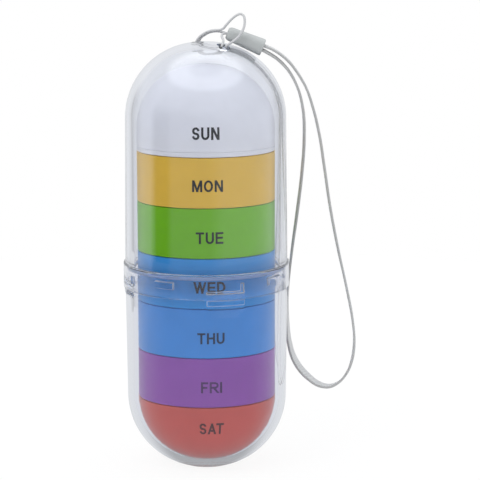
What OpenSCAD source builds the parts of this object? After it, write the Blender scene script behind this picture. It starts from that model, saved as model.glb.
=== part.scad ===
// Seven-day pill tube: a clear two-part capsule with a bayonet closure, a stack of seven
// trays that plug into each other, and a wrist strap on a string hitched through the top.

/* [Trays] */
// Outside diameter of the trays
tray_d = 43; // [38:0.5:48]
// Height that one tray adds to the stack
tray_h = 15.5; // [12:0.5:20]
// Wall of a tray
tray_wall = 1.3; // [1:0.1:1.8]
// Floor of a tray
tray_floor = 1.2; // [0.8:0.1:2]
// Cove between wall and floor inside a tray
tray_cove = 2; // [1:0.25:3]
// Edge break on the outside corners of a tray
tray_edge = 0.3; // [0.1:0.05:0.5]
// Depth of the spigot under a tray
spigot_h = 2; // [1:0.25:3]
// Wall of the spigot
spigot_wall = 1.2; // [0.8:0.1:2]
// Gap between a plugged-in wall and the wall round it
plug_gap = 0.2; // [0.1:0.05:0.3]
// Straight wall of the bottom tray above its round bottom
bottom_wall_h = 1.3; // [1:0.1:6]
// Diameter of the flat on which the bottom tray sits
seat_d = 12; // [8:0.5:16]

/* [Dome lid] */
// Wall of the lid
lid_wall = 1.3; // [1:0.1:1.8]
// Straight wall of the lid below its dome
lid_wall_h = 4.9; // [3:0.1:10]
// Height of the top tray's flange under the lid
flange_h = 1.5; // [1:0.1:3]
// How far the top tray's lip ends below the start of the lid's dome
lip_drop = 0.4; // [0.3:0.1:1.5]
// Wall of the lip
lip_wall = 1.2; // [0.8:0.1:2]

/* [Domes] */
// Distance of the shoulder arc's centre from the axis
dome_inset = 1.6; // [0.5:0.1:4]
// How much larger the crown radius is than the shoulder radius
dome_gain = 10.6; // [6:0.2:16]

/* [Clear case] */
// Wall of the case
case_wall = 2.2; // [1.6:0.1:3]
// Gap between the trays and the case
stack_gap = 1.3; // [0.8:0.1:2]
// Widening of each half towards the joint, on the radius
rim_flare = 0.4; // [0:0.05:0.5]
// Diameter of the flat that the tube stands on
foot_d = 16; // [10:0.5:20]
// Height of the inside seat above the foot
seat_h = 2.2; // [2.1:0.1:4]
// Space above the dome lid
head_gap = 4.5; // [3:0.1:8]

/* [Closure] */
// Height of the joint between the halves above the foot
joint_z = 57.2; // [45:0.2:70]
// Height of the neck above the joint
neck_h = 6; // [5:0.1:9]
// Wall of the neck
neck_wall = 1.1; // [0.8:0.1:1.6]
// Wall of the skirt round the neck
skirt_wall = 1; // [0.8:0.1:1.6]
// Thickness of the shoulder between the seal and the top of the band
roof_t = 0.6; // [0.4:0.1:2]
// Depth of the lugs and ribs, on the radius
tooth_t = 0.8; // [0.6:0.05:1.2]
// Gap beside a lug or rib
tooth_gap = 0.25; // [0.2:0.05:0.4]
// Number of lugs, and of ribs
stations = 4; // [3:1:4]
// Middle of the front rib, in degrees right of the front
rib_at = 13.5; // [10:0.5:17]
// Arc of a rib in degrees
rib_arc = 27; // [20:1:30]
// Height of a rib's underside above the joint
rib_z = 1.8; // [1:0.1:2.2]
// Height of a rib
rib_h = 0.7; // [0.5:0.1:1]
// Arc of the upright stop at the end of a rib, in degrees
stop_arc = 2; // [1:0.5:4]
// Height of the upright stop above the rib
stop_h = 2.3; // [1.5:0.1:2.4]
// How far the upright stop stands in from the rib's end, in degrees
stop_inset = 0.3; // [0.2:0.1:1]
// How much shallower the upright stop is than the rib, on the radius
stop_relief = 0.1; // [0.05:0.05:0.2]
// Middle of the front lug, in degrees right of the front
lug_at = -32; // [-35:0.5:-29]
// Arc of a lug in degrees
lug_arc = 15.4; // [10:0.2:18]
// Height of a lug
lug_h = 2.2; // [1:0.1:2.4]
// Gap between a lug and the rib that turns in under it
lug_lift = 0.3; // [0.2:0.05:0.6]
// Arc of an index pad below a rib, in degrees
pad_arc = 26.5; // [10:0.5:30]
// Height of an index pad
pad_h = 1.6; // [1:0.1:3]
// Distance of an index pad below the joint
pad_drop = 0.2; // [0.1:0.1:1]
// How far an index pad stands out of the wall
pad_t = 0.3; // [0.2:0.05:0.4]

/* [Seal] */
// Height of the seal ring
seal_h = 1.2; // [0.8:0.1:2]
// Gap between the seal ring and the skirt
seal_gap = 0.15; // [0.1:0.05:0.3]
// Edge break of the seal ring
seal_edge = 0.2; // [0.1:0.05:0.3]

/* [Lanyard] */
// Diameter of the string holes
hole_d = 3.8; // [3:0.1:5]
// Distance between the string holes
hole_spacing = 10; // [8:0.5:14]
// Shift of the bridge between the holes from the axis
hole_shift = 2; // [0:0.25:3]
// Turn of the row of holes, in degrees to the front at its right end
hole_turn = 40; // [0:5:45]
// Diameter of the string
string_d = 0.8; // [0.6:0.1:1]
// Width of the strap
strap_w = 5; // [4:0.25:6]
// Thickness of the strap
strap_t = 0.8; // [0.6:0.1:1]
// Length of the ferrule
ferrule_l = 12.5; // [10:0.5:16]
// Width of the ferrule across the strap
ferrule_w = 6.6; // [6:0.2:9]
// Height of the ferrule at the string's end
ferrule_h0 = 4.1; // [3.8:0.1:5]
// Height of the ferrule at the strap's end
ferrule_h1 = 5.3; // [4:0.1:7]
// Corner radius at the string's end of the ferrule
ferrule_r = 1.9; // [0.8:0.1:1.9]

/* [Hidden] */
$fn = 96;

// Overlap of a cut or of a fused tooth with the wall it goes into
over = 0.3;
// Angle of the front of the tube, from +X
front = -90;
// Turn from one station of the closure to the next
station_step = 360 / stations;

// Crown radius of a dome of radius r, and its height above the start of its shoulder
function crown(r) = r - dome_inset + dome_gain;
function rise(r) = crown(r) - sqrt(pow(dome_gain, 2) - pow(dome_inset, 2));
// Height lost when a crown of radius c is cut to a flat of radius f
function sag(c, f) = c - sqrt(c * c - f * f);

tray_r = tray_d / 2;
bore_r = tray_r + stack_gap;
case_r = bore_r + case_wall;
rim_r = case_r + rim_flare;
plug_r = tray_r - tray_wall - plug_gap;
lip_r = tray_r - lid_wall - plug_gap;

// Heights of the stack: the bottom tray's dome, then each seam between trays
bottom_dome_z = seat_h - sag(crown(tray_r), seat_d / 2) + rise(tray_r);
first_seam = bottom_dome_z + bottom_wall_h;
function seam(i) = first_seam + i * tray_h;
plain_trays = 5;
top_seam = seam(plain_trays);
lid_z = top_seam + flange_h;
lid_dome_z = lid_z + lid_wall_h;
lid_top = lid_dome_z + rise(tray_r);

// Heights of the case
lower_pole = -sag(crown(case_r), foot_d / 2);
lower_dome_z = lower_pole + rise(case_r);
case_top = lid_top + head_gap + case_wall;
upper_dome_z = case_top - rise(case_r);
neck_top = joint_z + neck_h;
ledge_z = neck_top + seal_h;
band_top = ledge_z + roof_t;

// Radii of the closure, from the neck outwards
neck_r = bore_r + neck_wall;
skirt_r = neck_r + tooth_t + tooth_gap;
band_r = skirt_r + skirt_wall;
lug_z = joint_z + rib_z + rib_h + lug_lift;

// The string's route through both holes and round the hitch, from the ferrule and back to it
string_route = [[7.5, -0.9, 135.65], [6, -1, 136.15], [5.25, -1.4, 135.9], [5.1, -2.1, 135.2],
    [5.45, -3.2, 134.4], [5.4, -4.2, 133.4], [4.95, -4.8, 132.3], [4.7, -4.6, 131.1],
    [4.05, -4.05, 130.25], [3.05, -3.2, 129.85], [1.2, -1.7, 129.8], [-0.8, 0, 129.9],
    [-1.85, 0.9, 130.5], [-2.4, 1.35, 131.9], [-2.75, 1.3, 133.4], [-2.2, 1.1, 134.4],
    [-1.3, 0.85, 135.3], [0, 0.55, 136.2], [1.4, 0.2, 136.8], [2.9, -0.2, 137.05], [4.5, -0.6, 137.2],
    [5.5, -0.9, 137.6], [6.2, -1.1, 138.4], [7.3, -1.5, 139.7], [8.5, -1.9, 140.9], [9.7, -2.3, 141.8],
    [10.9, -2.7, 142.2], [11.8, -3.2, 141.6], [12.1, -3.6, 140.4], [12, -4, 138.9], [11.5, -4.3, 137.4],
    [10.6, -4.6, 135.9], [9.4, -4.8, 134.6], [8.1, -4.8, 133.7], [7.05, -4.7, 133], [6.3, -4.5, 132.35],
    [6, -4.2, 131.1], [4.9, -3.4, 130.2], [3.7, -2.45, 129.85], [1.85, -0.9, 129.8],
    [-0.15, 0.75, 129.9], [-1.2, 1.7, 130.5], [-1.8, 2.3, 131.9], [-2, 2.5, 133.4], [-1.4, 2.4, 134.5],
    [-0.3, 2.1, 135.4], [1.2, 1.8, 136.2], [3, 1.4, 136.6], [4.8, 1.1, 136.5], [6, 1, 136.15],
    [7.5, 0.9, 135.65]];
// The strap's route from the ferrule, down, round and back, each point with the strap's roll in degrees
strap_route = [[16.2, 0, 133.05, 0], [18, 0, 132.25, 0], [20.2, 0, 131.4, 0], [22.7, 0.5, 129.9, 0],
    [25.8, 1.5, 127.2, 0], [28.8, 2.5, 123.2, 0], [31.2, 3.5, 119, 0], [33.5, 5, 112.5, 0],
    [35.6, 7, 104, 0], [37.4, 9, 93, 0], [39.3, 10.5, 80.5, 0], [42, 11.7, 66.5, 0], [45, 12, 53, 2],
    [46.9, 12, 43, 3], [47.5, 12, 36, 3], [46.9, 12, 30.3, 4], [45.3, 12, 25.7, 9],
    [42.8, 12, 22.5, 12], [39.6, 12, 21.1, 5], [36.3, 12, 21.7, -4], [33, 12, 24, -10],
    [30, 12, 27.2, -13], [27.9, 12, 30.9, -13], [26.6, 12, 35.5, -12], [25.9, 12, 42, -10],
    [25.8, 12, 50, -7], [26.4, 12, 57, -4], [27.4, 11.5, 66.5, -2], [28.8, 10.5, 77.5, 0],
    [30.2, 9, 90, 0], [30.9, 7, 102, 0], [30.4, 5, 112, 0], [28.5, 3.3, 119.2, 0], [25.2, 2, 125, 0],
    [21.7, 1, 128.4, 0], [19.4, 0.4, 129.9, 0], [17.5, 0, 130.95, 0], [15.6, 0, 131.75, 0]];
// Place of the ferrule's string end, its tilt, and the pockets for the string and the strap
ferrule_at = [6.2, 0, 136.45];
ferrule_tilt = 22.7;
cord_pocket_d = 2.9;
cord_pocket_l = 1;
strap_pocket_h = 2.6;
strap_pocket_l = 1.6;
strap_play = 0.4;

// Half outline of a dome of radius r: a shoulder arc that runs on into a flatter crown
module dome_outline(r) {
    shoulder = r - dome_inset;
    crown_z = rise(r) - crown(r);
    meet = [0, crown_z] + [dome_inset, -crown_z] * crown(r) / dome_gain;
    intersection() {
        translate([0, crown_z]) circle(crown(r));
        polygon([[0, 0], [meet.x, 0], meet, [meet.x, rise(r)], [0, rise(r)]]);
    }
    translate([dome_inset, 0]) intersection() {
        circle(shoulder);
        square(shoulder);
    }
    polygon([[0, 0], [dome_inset, 0], meet, [0, meet.y]]);
}

// Half outline of a round bottom of radius r with a straight wall from z up to top
module bowl_outline(r, z, top) {
    translate([0, z]) mirror([0, 1]) dome_outline(r);
    translate([0, z]) square([r, top - z]);
}

// Half outline of a round top of radius r with a straight wall from z up to the dome at dome_z
module cap_outline(r, z, dome_z) {
    translate([0, dome_z]) dome_outline(r);
    translate([0, z]) square([r, dome_z - z]);
}

// Ring segment of the closure: arc degrees wide round the angle at, right of the front
module tooth(at, arc, r, t, z, h) {
    rotate([0, 0, front + at - arc / 2])
        rotate_extrude(angle = arc) translate([r, z]) square([t, h]);
}

// What repeats once at each station of the closure
module at_stations() {
    for (i = [0 : stations - 1])
        rotate([0, 0, i * station_step]) children();
}

// Clear lower half: round bottom with a foot and an inside seat, neck, lugs and index pads
module lower_case() {
    seat_r = seat_d / 2 + stack_gap;
    color([0.85, 0.87, 0.92, 0.35]) {
        rotate_extrude() {
            difference() {
                union() {
                    translate([0, lower_dome_z]) mirror([0, 1]) dome_outline(case_r);
                    polygon([[0, lower_dome_z], [case_r, lower_dome_z], [rim_r, joint_z], [neck_r, joint_z],
                        [neck_r, neck_top], [0, neck_top]]);
                }
                bowl_outline(bore_r, lower_dome_z, neck_top + over);
                translate([0, lower_pole - over]) square([case_r, over - lower_pole]);
            }
            square([seat_r, seat_h]);
        }
        at_stations() {
            tooth(lug_at, lug_arc, neck_r - over, tooth_t + over, lug_z, lug_h);
            tooth(rib_at, pad_arc, rim_r - pad_t - over, 2 * pad_t + over, joint_z - pad_drop - pad_h, pad_h);
        }
    }
}

// Clear upper half: round top with two string holes, skirt with a band, and L-shaped ribs
module upper_case() {
    rib_r = skirt_r - tooth_t;
    color([0.85, 0.87, 0.92, 0.35]) {
        difference() {
            rotate_extrude() difference() {
                union() {
                    translate([0, upper_dome_z]) dome_outline(case_r);
                    polygon([[0, joint_z], [band_r, joint_z], [band_r, band_top], [rim_r, band_top],
                        [case_r, upper_dome_z], [0, upper_dome_z]]);
                }
                cap_outline(bore_r, joint_z - over, upper_dome_z);
                translate([0, joint_z - over]) square([skirt_r, ledge_z - joint_z + over]);
            }
            for (side = [-1, 1])
                rotate([0, 0, -hole_turn]) translate([hole_shift + side * hole_spacing / 2, 0, lid_top])
                    cylinder(d = hole_d, h = case_top - lid_top + over);
        }
        at_stations() {
            tooth(rib_at, rib_arc, rib_r, tooth_t + over, joint_z + rib_z, rib_h);
            tooth(rib_at + (rib_arc - stop_arc) / 2 - stop_inset, stop_arc, rib_r + stop_relief,
                tooth_t - stop_relief + over, joint_z + rib_z + rib_h / 2, rib_h / 2 + stop_h);
        }
    }
}

// Soft flat ring between the top of the neck and the ledge in the upper half
module seal_ring() {
    outer = skirt_r - seal_gap;
    inner = bore_r + seal_gap;
    color([0.88, 0.9, 0.93])
        rotate_extrude() translate([0, neck_top])
            polygon([[inner, 0], [outer - seal_edge, 0], [outer, seal_edge], [outer, seal_h - seal_edge],
                [outer - seal_edge, seal_h], [inner, seal_h]]);
}

// Outline points of the spigot and the lower outside edge that every plugged-in tray has
function spigot_points(z) = [[0, z], [plug_r - spigot_wall, z], [plug_r - spigot_wall, z - spigot_h],
    [plug_r - tray_edge, z - spigot_h], [plug_r, z - spigot_h + tray_edge], [plug_r, z],
    [tray_r - tray_edge, z], [tray_r, z + tray_edge]];

// Cove that fills the corner between a wall of inside radius r and a floor at z
module cove_outline(r, z) {
    translate([r - tray_cove, z]) difference() {
        square(tray_cove);
        translate([0, tray_cove]) circle(tray_cove);
    }
}

// One plugged-in tray of the stack, with its lower seam at z
module tray(z) {
    inside = tray_r - tray_wall;
    rim = z + tray_h;
    rotate_extrude() {
        polygon(concat(spigot_points(z), [[tray_r, rim - tray_edge], [tray_r - tray_edge, rim],
            [inside, rim], [inside, z + tray_floor], [0, z + tray_floor]]));
        cove_outline(inside, z + tray_floor);
    }
}

// Bottom tray: a round-bottomed cup that sits on the seat of the lower case
module saturday_tray() {
    color([0.86, 0.34, 0.27])
        rotate_extrude() difference() {
            bowl_outline(tray_r, bottom_dome_z, first_seam);
            bowl_outline(tray_r - tray_wall, bottom_dome_z, first_seam + over);
            square([seat_d, seat_h]);
        }
}

module friday_tray() {
    color([0.56, 0.36, 0.68]) tray(seam(0));
}

module thursday_tray() {
    color([0.33, 0.55, 0.82]) tray(seam(1));
}

module wednesday_tray() {
    color([0.27, 0.53, 0.8]) tray(seam(2));
}

module tuesday_tray() {
    color([0.45, 0.7, 0.24]) tray(seam(3));
}

module monday_tray() {
    color([0.88, 0.7, 0.31]) tray(seam(4));
}

// Top tray: a flange that the lid sits on, and a lip that the lid fits over
module sunday_tray() {
    z = top_seam;
    lip_inside = lip_r - lip_wall;
    lip_top = lid_dome_z - lip_drop;
    color([0.9, 0.91, 0.95])
        rotate_extrude() {
            polygon(concat(spigot_points(z), [[tray_r, lid_z - tray_edge], [tray_r - tray_edge, lid_z],
                [lip_r, lid_z], [lip_r, lip_top - tray_edge], [lip_r - tray_edge, lip_top],
                [lip_inside, lip_top], [lip_inside, z + tray_floor], [0, z + tray_floor]]));
            cove_outline(lip_inside, z + tray_floor);
        }
}

// White dome that closes the top tray
module dome_lid() {
    color([0.9, 0.91, 0.95])
        rotate_extrude() difference() {
            cap_outline(tray_r, lid_z, lid_dome_z);
            cap_outline(tray_r - lid_wall, lid_z - over, lid_dome_z);
        }
}

// Sweep of a closed section along a route: each route point is [x, y, z] with an optional roll,
// and the section's second axis stays as near to +Y as the route lets it
function unit(v) = v / norm(v);
function place(row) = [row[0], row[1], row[2]];
function roll(row) = len(row) > 3 ? row[3] : 0;
function along(route, i) =
    unit(place(route[min(i + 1, len(route) - 1)]) - place(route[max(i - 1, 0)]));
function ring(route, i, section) =
    let (t = along(route, i), u = unit(cross([0, 1, 0], t)), v = cross(t, u), a = roll(route[i]))
    [for (p = section)
        place(route[i]) + u * (p.x * cos(a) - p.y * sin(a)) + v * (p.x * sin(a) + p.y * cos(a))];
module sweep(route, section) {
    n = len(section);
    last = (len(route) - 1) * n;
    walls = [for (i = [0 : len(route) - 2], j = [0 : n - 1])
        let (a = i * n + j, b = i * n + (j + 1) % n) each [[a, a + n, b], [b, a + n, b + n]]];
    ends = [for (j = [1 : n - 2]) each [[0, j, j + 1], [last, last + j + 1, last + j]]];
    polyhedron([for (i = [0 : len(route) - 1]) each ring(route, i, section)], concat(walls, ends));
}

// Thin round string, hitched through the two holes in the top
module loop_cord() {
    sides = 8;
    color([0.83, 0.84, 0.85])
        sweep(string_route, [for (k = [0 : sides - 1])
            string_d / 2 * [cos(k * 360 / sides), sin(k * 360 / sides)]]);
}

// Outline of the ferrule from one side: slim and rounded at the string, deep and square at the strap
module ferrule_outline(h0, h1) {
    hull() {
        for (side = [-1, 1])
            translate([ferrule_r, side * (h0 / 2 - ferrule_r)]) circle(ferrule_r, $fn = 32);
        translate([ferrule_l - ferrule_r, -h1 / 2]) square([ferrule_r, h1]);
    }
}

// Moulded sleeve between the string and the strap
module ferrule() {
    color([0.74, 0.75, 0.77])
        translate(ferrule_at) rotate([0, ferrule_tilt, 0]) difference() {
            intersection() {
                rotate([90, 0, 0]) linear_extrude(ferrule_w, center = true)
                    ferrule_outline(ferrule_h0, ferrule_h1);
                linear_extrude(2 * ferrule_h1, center = true)
                    ferrule_outline(ferrule_w - ferrule_r, ferrule_w);
            }
            rotate([0, 90, 0]) cylinder(d = cord_pocket_d, h = 2 * cord_pocket_l, center = true);
            translate([ferrule_l, 0, 0])
                cube([2 * strap_pocket_l, strap_w + strap_play, strap_pocket_h], center = true);
        }
}

// Flat woven wrist strap, a loop that starts and ends in the ferrule
module wrist_strap() {
    color([0.72, 0.73, 0.73])
        sweep(strap_route, [for (p = [[-1, -1], [1, -1], [1, 1], [-1, 1]])
            [p.x * strap_t / 2, p.y * strap_w / 2]]);
}

lower_case();
upper_case();
seal_ring();
saturday_tray();
friday_tray();
thursday_tray();
wednesday_tray();
tuesday_tray();
monday_tray();
sunday_tray();
dome_lid();
loop_cord();
ferrule();
wrist_strap();
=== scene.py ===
"""Looks of a seven-day pill tube: a clear capsule, a stack of day trays, and a wrist strap on a string.

Lengths in the classes are millimetres, as on a drawing, and meshes are written in metres.
"""

import logging
import math
from dataclasses import dataclass, field
from enum import Enum

import bmesh
import bpy
import numpy as np
from mathutils import Matrix, Vector


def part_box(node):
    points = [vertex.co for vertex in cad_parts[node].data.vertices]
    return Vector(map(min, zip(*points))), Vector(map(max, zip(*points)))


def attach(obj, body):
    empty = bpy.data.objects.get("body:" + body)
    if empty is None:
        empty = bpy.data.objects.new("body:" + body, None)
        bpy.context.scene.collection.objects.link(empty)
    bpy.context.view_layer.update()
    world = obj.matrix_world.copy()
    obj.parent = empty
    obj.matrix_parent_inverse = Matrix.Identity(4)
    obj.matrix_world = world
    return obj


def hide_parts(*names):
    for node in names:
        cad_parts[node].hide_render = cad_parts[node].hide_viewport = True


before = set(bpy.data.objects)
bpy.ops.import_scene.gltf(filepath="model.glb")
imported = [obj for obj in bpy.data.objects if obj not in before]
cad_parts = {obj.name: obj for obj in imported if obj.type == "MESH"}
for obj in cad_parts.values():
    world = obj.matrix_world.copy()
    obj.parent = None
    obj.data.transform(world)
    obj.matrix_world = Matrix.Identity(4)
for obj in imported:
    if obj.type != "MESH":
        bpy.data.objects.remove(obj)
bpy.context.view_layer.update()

MM = 0.001
# Distance in metres within which points are one, and the angle from which an edge shows
MERGE = 1e-7
SHARP = math.radians(40)
# Points round the tube, and round the holes and the floor
AROUND = 240
FEW_AROUND = 96
# Name of a mesh's marks, which are 1 in the middle of a moulded slope, and the mean mark of a face on one
SLOPE = "slope"
SLOPE_FACE = 0.3
# Lines across a slope and the room that even lines leave beside its middle, both in halves of its width
SLOPE_LINES = (-1, -0.8, -0.4, 0, 0.4, 0.8, 1)
SLOPE_ROOM = 1.5
# Share of a straight side, beside a rounded corner, that keeps its shading flat
HOLD = 0.2
# Even rows of points on a wall that carries boxes, of which those near a box's slope are left out
WALL_ROWS = 5
log = logging.getLogger("pill_tube")

Array = np.ndarray
Tree = bpy.types.NodeTree
Node = bpy.types.Node
Socket = bpy.types.NodeSocket
Mesh = bpy.types.Mesh
Piece = bpy.types.Object
Colour = tuple[float, float, float, float]
Stop = tuple[float, Colour]
Corner = tuple[float, float, float]
Levels = tuple[tuple[float, float], ...]


def linear(hexed: str) -> Colour:
    """Turn an sRGB hex colour into linear light.

    Args:
        hexed: Six hex digits.

    Returns:
        Red, green, blue and an alpha of 1.
    """
    shares = [int(hexed[i : i + 2], 16) / 255 for i in (0, 2, 4)]
    light = [c / 12.92 if c <= 0.04045 else ((c + 0.055) / 1.055) ** 2.4 for c in shares]
    return light[0], light[1], light[2], 1.0


def add(
    tree: Tree,
    kind: str,
    inputs: dict | None = None,
    stops: list[Stop] | None = None,
    **settings: str,
) -> Node:
    """Add a node with its settings, and set or link its inputs.

    Args:
        tree: Node tree that gets the node.
        kind: Blender's name for the node.
        inputs: Socket name or number to a value, or to an output socket that it is linked from.
        stops: Places and colours along a colour ramp, in order.
        settings: Properties of the node itself.

    Returns:
        The new node.
    """
    node = tree.nodes.new(kind)
    for name, value in settings.items():
        setattr(node, name, value)
    for name, value in (inputs or {}).items():
        if isinstance(value, Socket):
            tree.links.new(value, node.inputs[name])
        else:
            node.inputs[name].default_value = value
    if stops:
        marks = node.color_ramp.elements
        while len(marks) < len(stops):
            marks.new(0.5)
        for mark, (place, colour) in zip(marks, stops):
            mark.position, mark.color = place, colour
    return node


def per_mm(size: float) -> float:
    """Texture scale, in repeats per metre, of a pattern that repeats every size millimetres."""
    return 1.0 / (size * MM)


# Finishes


@dataclass(frozen=True)
class Grain:
    """Fine unevenness of a surface: spots of noise that stay with the piece, raised a little."""

    size_mm: float
    depth_mm: float
    detail: float
    strength: float

    def raise_on(self, tree: Tree, shader: Node) -> None:
        """Raise the spots on a material.

        Args:
            tree: The material's nodes.
            shader: Its shader.
        """
        place = add(tree, "ShaderNodeTexCoord").outputs["Object"]
        spots = {"Vector": place, "Scale": per_mm(self.size_mm), "Detail": self.detail}
        spots = add(tree, "ShaderNodeTexNoise", spots).outputs["Fac"]
        raised = {"Height": spots, "Distance": self.depth_mm * MM, "Strength": self.strength}
        raised = add(tree, "ShaderNodeBump", raised).outputs[0]
        tree.links.new(raised, shader.inputs["Normal"])


@dataclass(frozen=True)
class Finish:
    """A material that is made once and shared by the pieces that have it."""

    name: str
    colour: str
    grain: Grain | None = None

    def material(self) -> bpy.types.Material:
        """Make the material at its first use.

        Returns:
            The material.
        """
        found = bpy.data.materials.get(self.name)
        if found:
            return found
        made = bpy.data.materials.new(self.name)
        made.use_nodes = True
        tree = made.node_tree
        tree.nodes.clear()
        shader = add(tree, "ShaderNodeBsdfPrincipled", {"Base Color": linear(self.colour)} | self.even())
        add(tree, "ShaderNodeOutputMaterial", {"Surface": shader.outputs[0]})
        self.vary(tree, shader)
        if self.grain:
            self.grain.raise_on(tree, shader)
        made.diffuse_color = linear(self.colour)
        return made

    def even(self) -> dict[str, float | Colour]:
        """Shader values that are the same all over the surface."""
        return {}

    def vary(self, tree: Tree, shader: Node) -> None:
        """Add what varies over the surface, apart from its grain."""


@dataclass(frozen=True)
class ClearStyrene(Finish):
    """Injection-moulded clear polystyrene, polished: sharp reflections, a cool tint and faint flow waves.

    The slopes of ribs, lugs and pads are a little matt, so they draw pale lines in the clear wall.
    """

    grain: Grain | None = Grain(size_mm=14.0, depth_mm=0.004, detail=1.0, strength=0.5)
    matt: float = 0.0
    ior: float = 1.55

    def even(self) -> dict[str, float | Colour]:
        """Let light through, less where it is matt."""
        return {"IOR": self.ior, "Transmission Weight": 1.0 - self.matt, "Roughness": self.matt}


@dataclass(frozen=True)
class TrayPolypropylene(Finish):
    """Moulded polypropylene: an even colour with a soft gloss, a fine spark-eroded grain and faint clouding.

    The grain is drawn coarser than a real one, which is too fine to show.
    """

    grain: Grain | None = Grain(size_mm=0.35, depth_mm=0.006, detail=2.0, strength=0.4)
    roughness: float = 0.38
    specular: float = 0.2
    cloud_mm: float = 9.0
    cloud_detail: float = 2.0
    cloud_dim: float = 0.95
    cloud_span: tuple[float, float] = (0.3, 0.7)

    def even(self) -> dict[str, float | Colour]:
        """Give it a soft gloss."""
        return {"Roughness": self.roughness, "Specular IOR Level": self.specular}

    def vary(self, tree: Tree, shader: Node) -> None:
        """Cloud the colour.

        Args:
            tree: The material's nodes.
            shader: Its shader.
        """
        bright = linear(self.colour)
        dim = tuple(self.cloud_dim * c for c in bright[:3]) + (1.0,)
        place = add(tree, "ShaderNodeTexCoord").outputs["Object"]
        clouds = {"Vector": place, "Scale": per_mm(self.cloud_mm), "Detail": self.cloud_detail}
        clouds = add(tree, "ShaderNodeTexNoise", clouds).outputs["Fac"]
        stops = list(zip(self.cloud_span, (dim, bright)))
        clouded = add(tree, "ShaderNodeValToRGB", {"Fac": clouds}, stops).outputs["Color"]
        tree.links.new(clouded, shader.inputs["Base Color"])


@dataclass(frozen=True)
class PrintInk(Finish):
    """Pad-printed ink: dark, half matt, uneven as a print is, with the wall showing where it is thin."""

    under: str = "FFFFFF"
    cover: float = 1.0
    mottle_mm: float = 0.8
    mottle_detail: float = 2.0
    mottle_span: tuple[float, float] = (0.45, 0.7)

    def even(self) -> dict[str, float | Colour]:
        """Let the wall's colour through a thin print."""
        layers = zip(linear(self.under), linear(self.colour))
        return {"Base Color": tuple(wall + self.cover * (ink - wall) for wall, ink in layers)}

    def vary(self, tree: Tree, shader: Node) -> None:
        """Mottle the ink's roughness.

        Args:
            tree: The material's nodes.
            shader: Its shader.
        """
        low, high = self.mottle_span
        place = add(tree, "ShaderNodeTexCoord").outputs["Object"]
        mottle = {"Vector": place, "Scale": per_mm(self.mottle_mm), "Detail": self.mottle_detail}
        mottle = add(tree, "ShaderNodeTexNoise", mottle).outputs["Fac"]
        rough = add(tree, "ShaderNodeMapRange", {"Value": mottle, "To Min": low, "To Max": high}).outputs[0]
        tree.links.new(rough, shader.inputs["Roughness"])


@dataclass(frozen=True)
class Silicone(Finish):
    """Pale silicone rubber: soft, half clear and matt, with a dull skin."""

    grain: Grain | None = Grain(size_mm=0.5, depth_mm=0.01, detail=2.0, strength=0.3)
    roughness: float = 0.3
    ior: float = 1.41
    clear: float = 0.68

    def even(self) -> dict[str, float | Colour]:
        """Let some light through."""
        return {"Roughness": self.roughness, "IOR": self.ior, "Transmission Weight": self.clear}


@dataclass(frozen=True)
class TwistedNylon(Finish):
    """Twisted nylon string: pale, with a soft sheen and fibres.

    The fibres are drawn coarser than real ones, which are too fine to show.
    """

    grain: Grain | None = Grain(size_mm=0.12, depth_mm=0.02, detail=1.0, strength=0.5)
    roughness: float = 0.6
    sheen: float = 0.25

    def even(self) -> dict[str, float | Colour]:
        """Give it a soft sheen."""
        return {"Roughness": self.roughness, "Sheen Weight": self.sheen}


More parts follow.
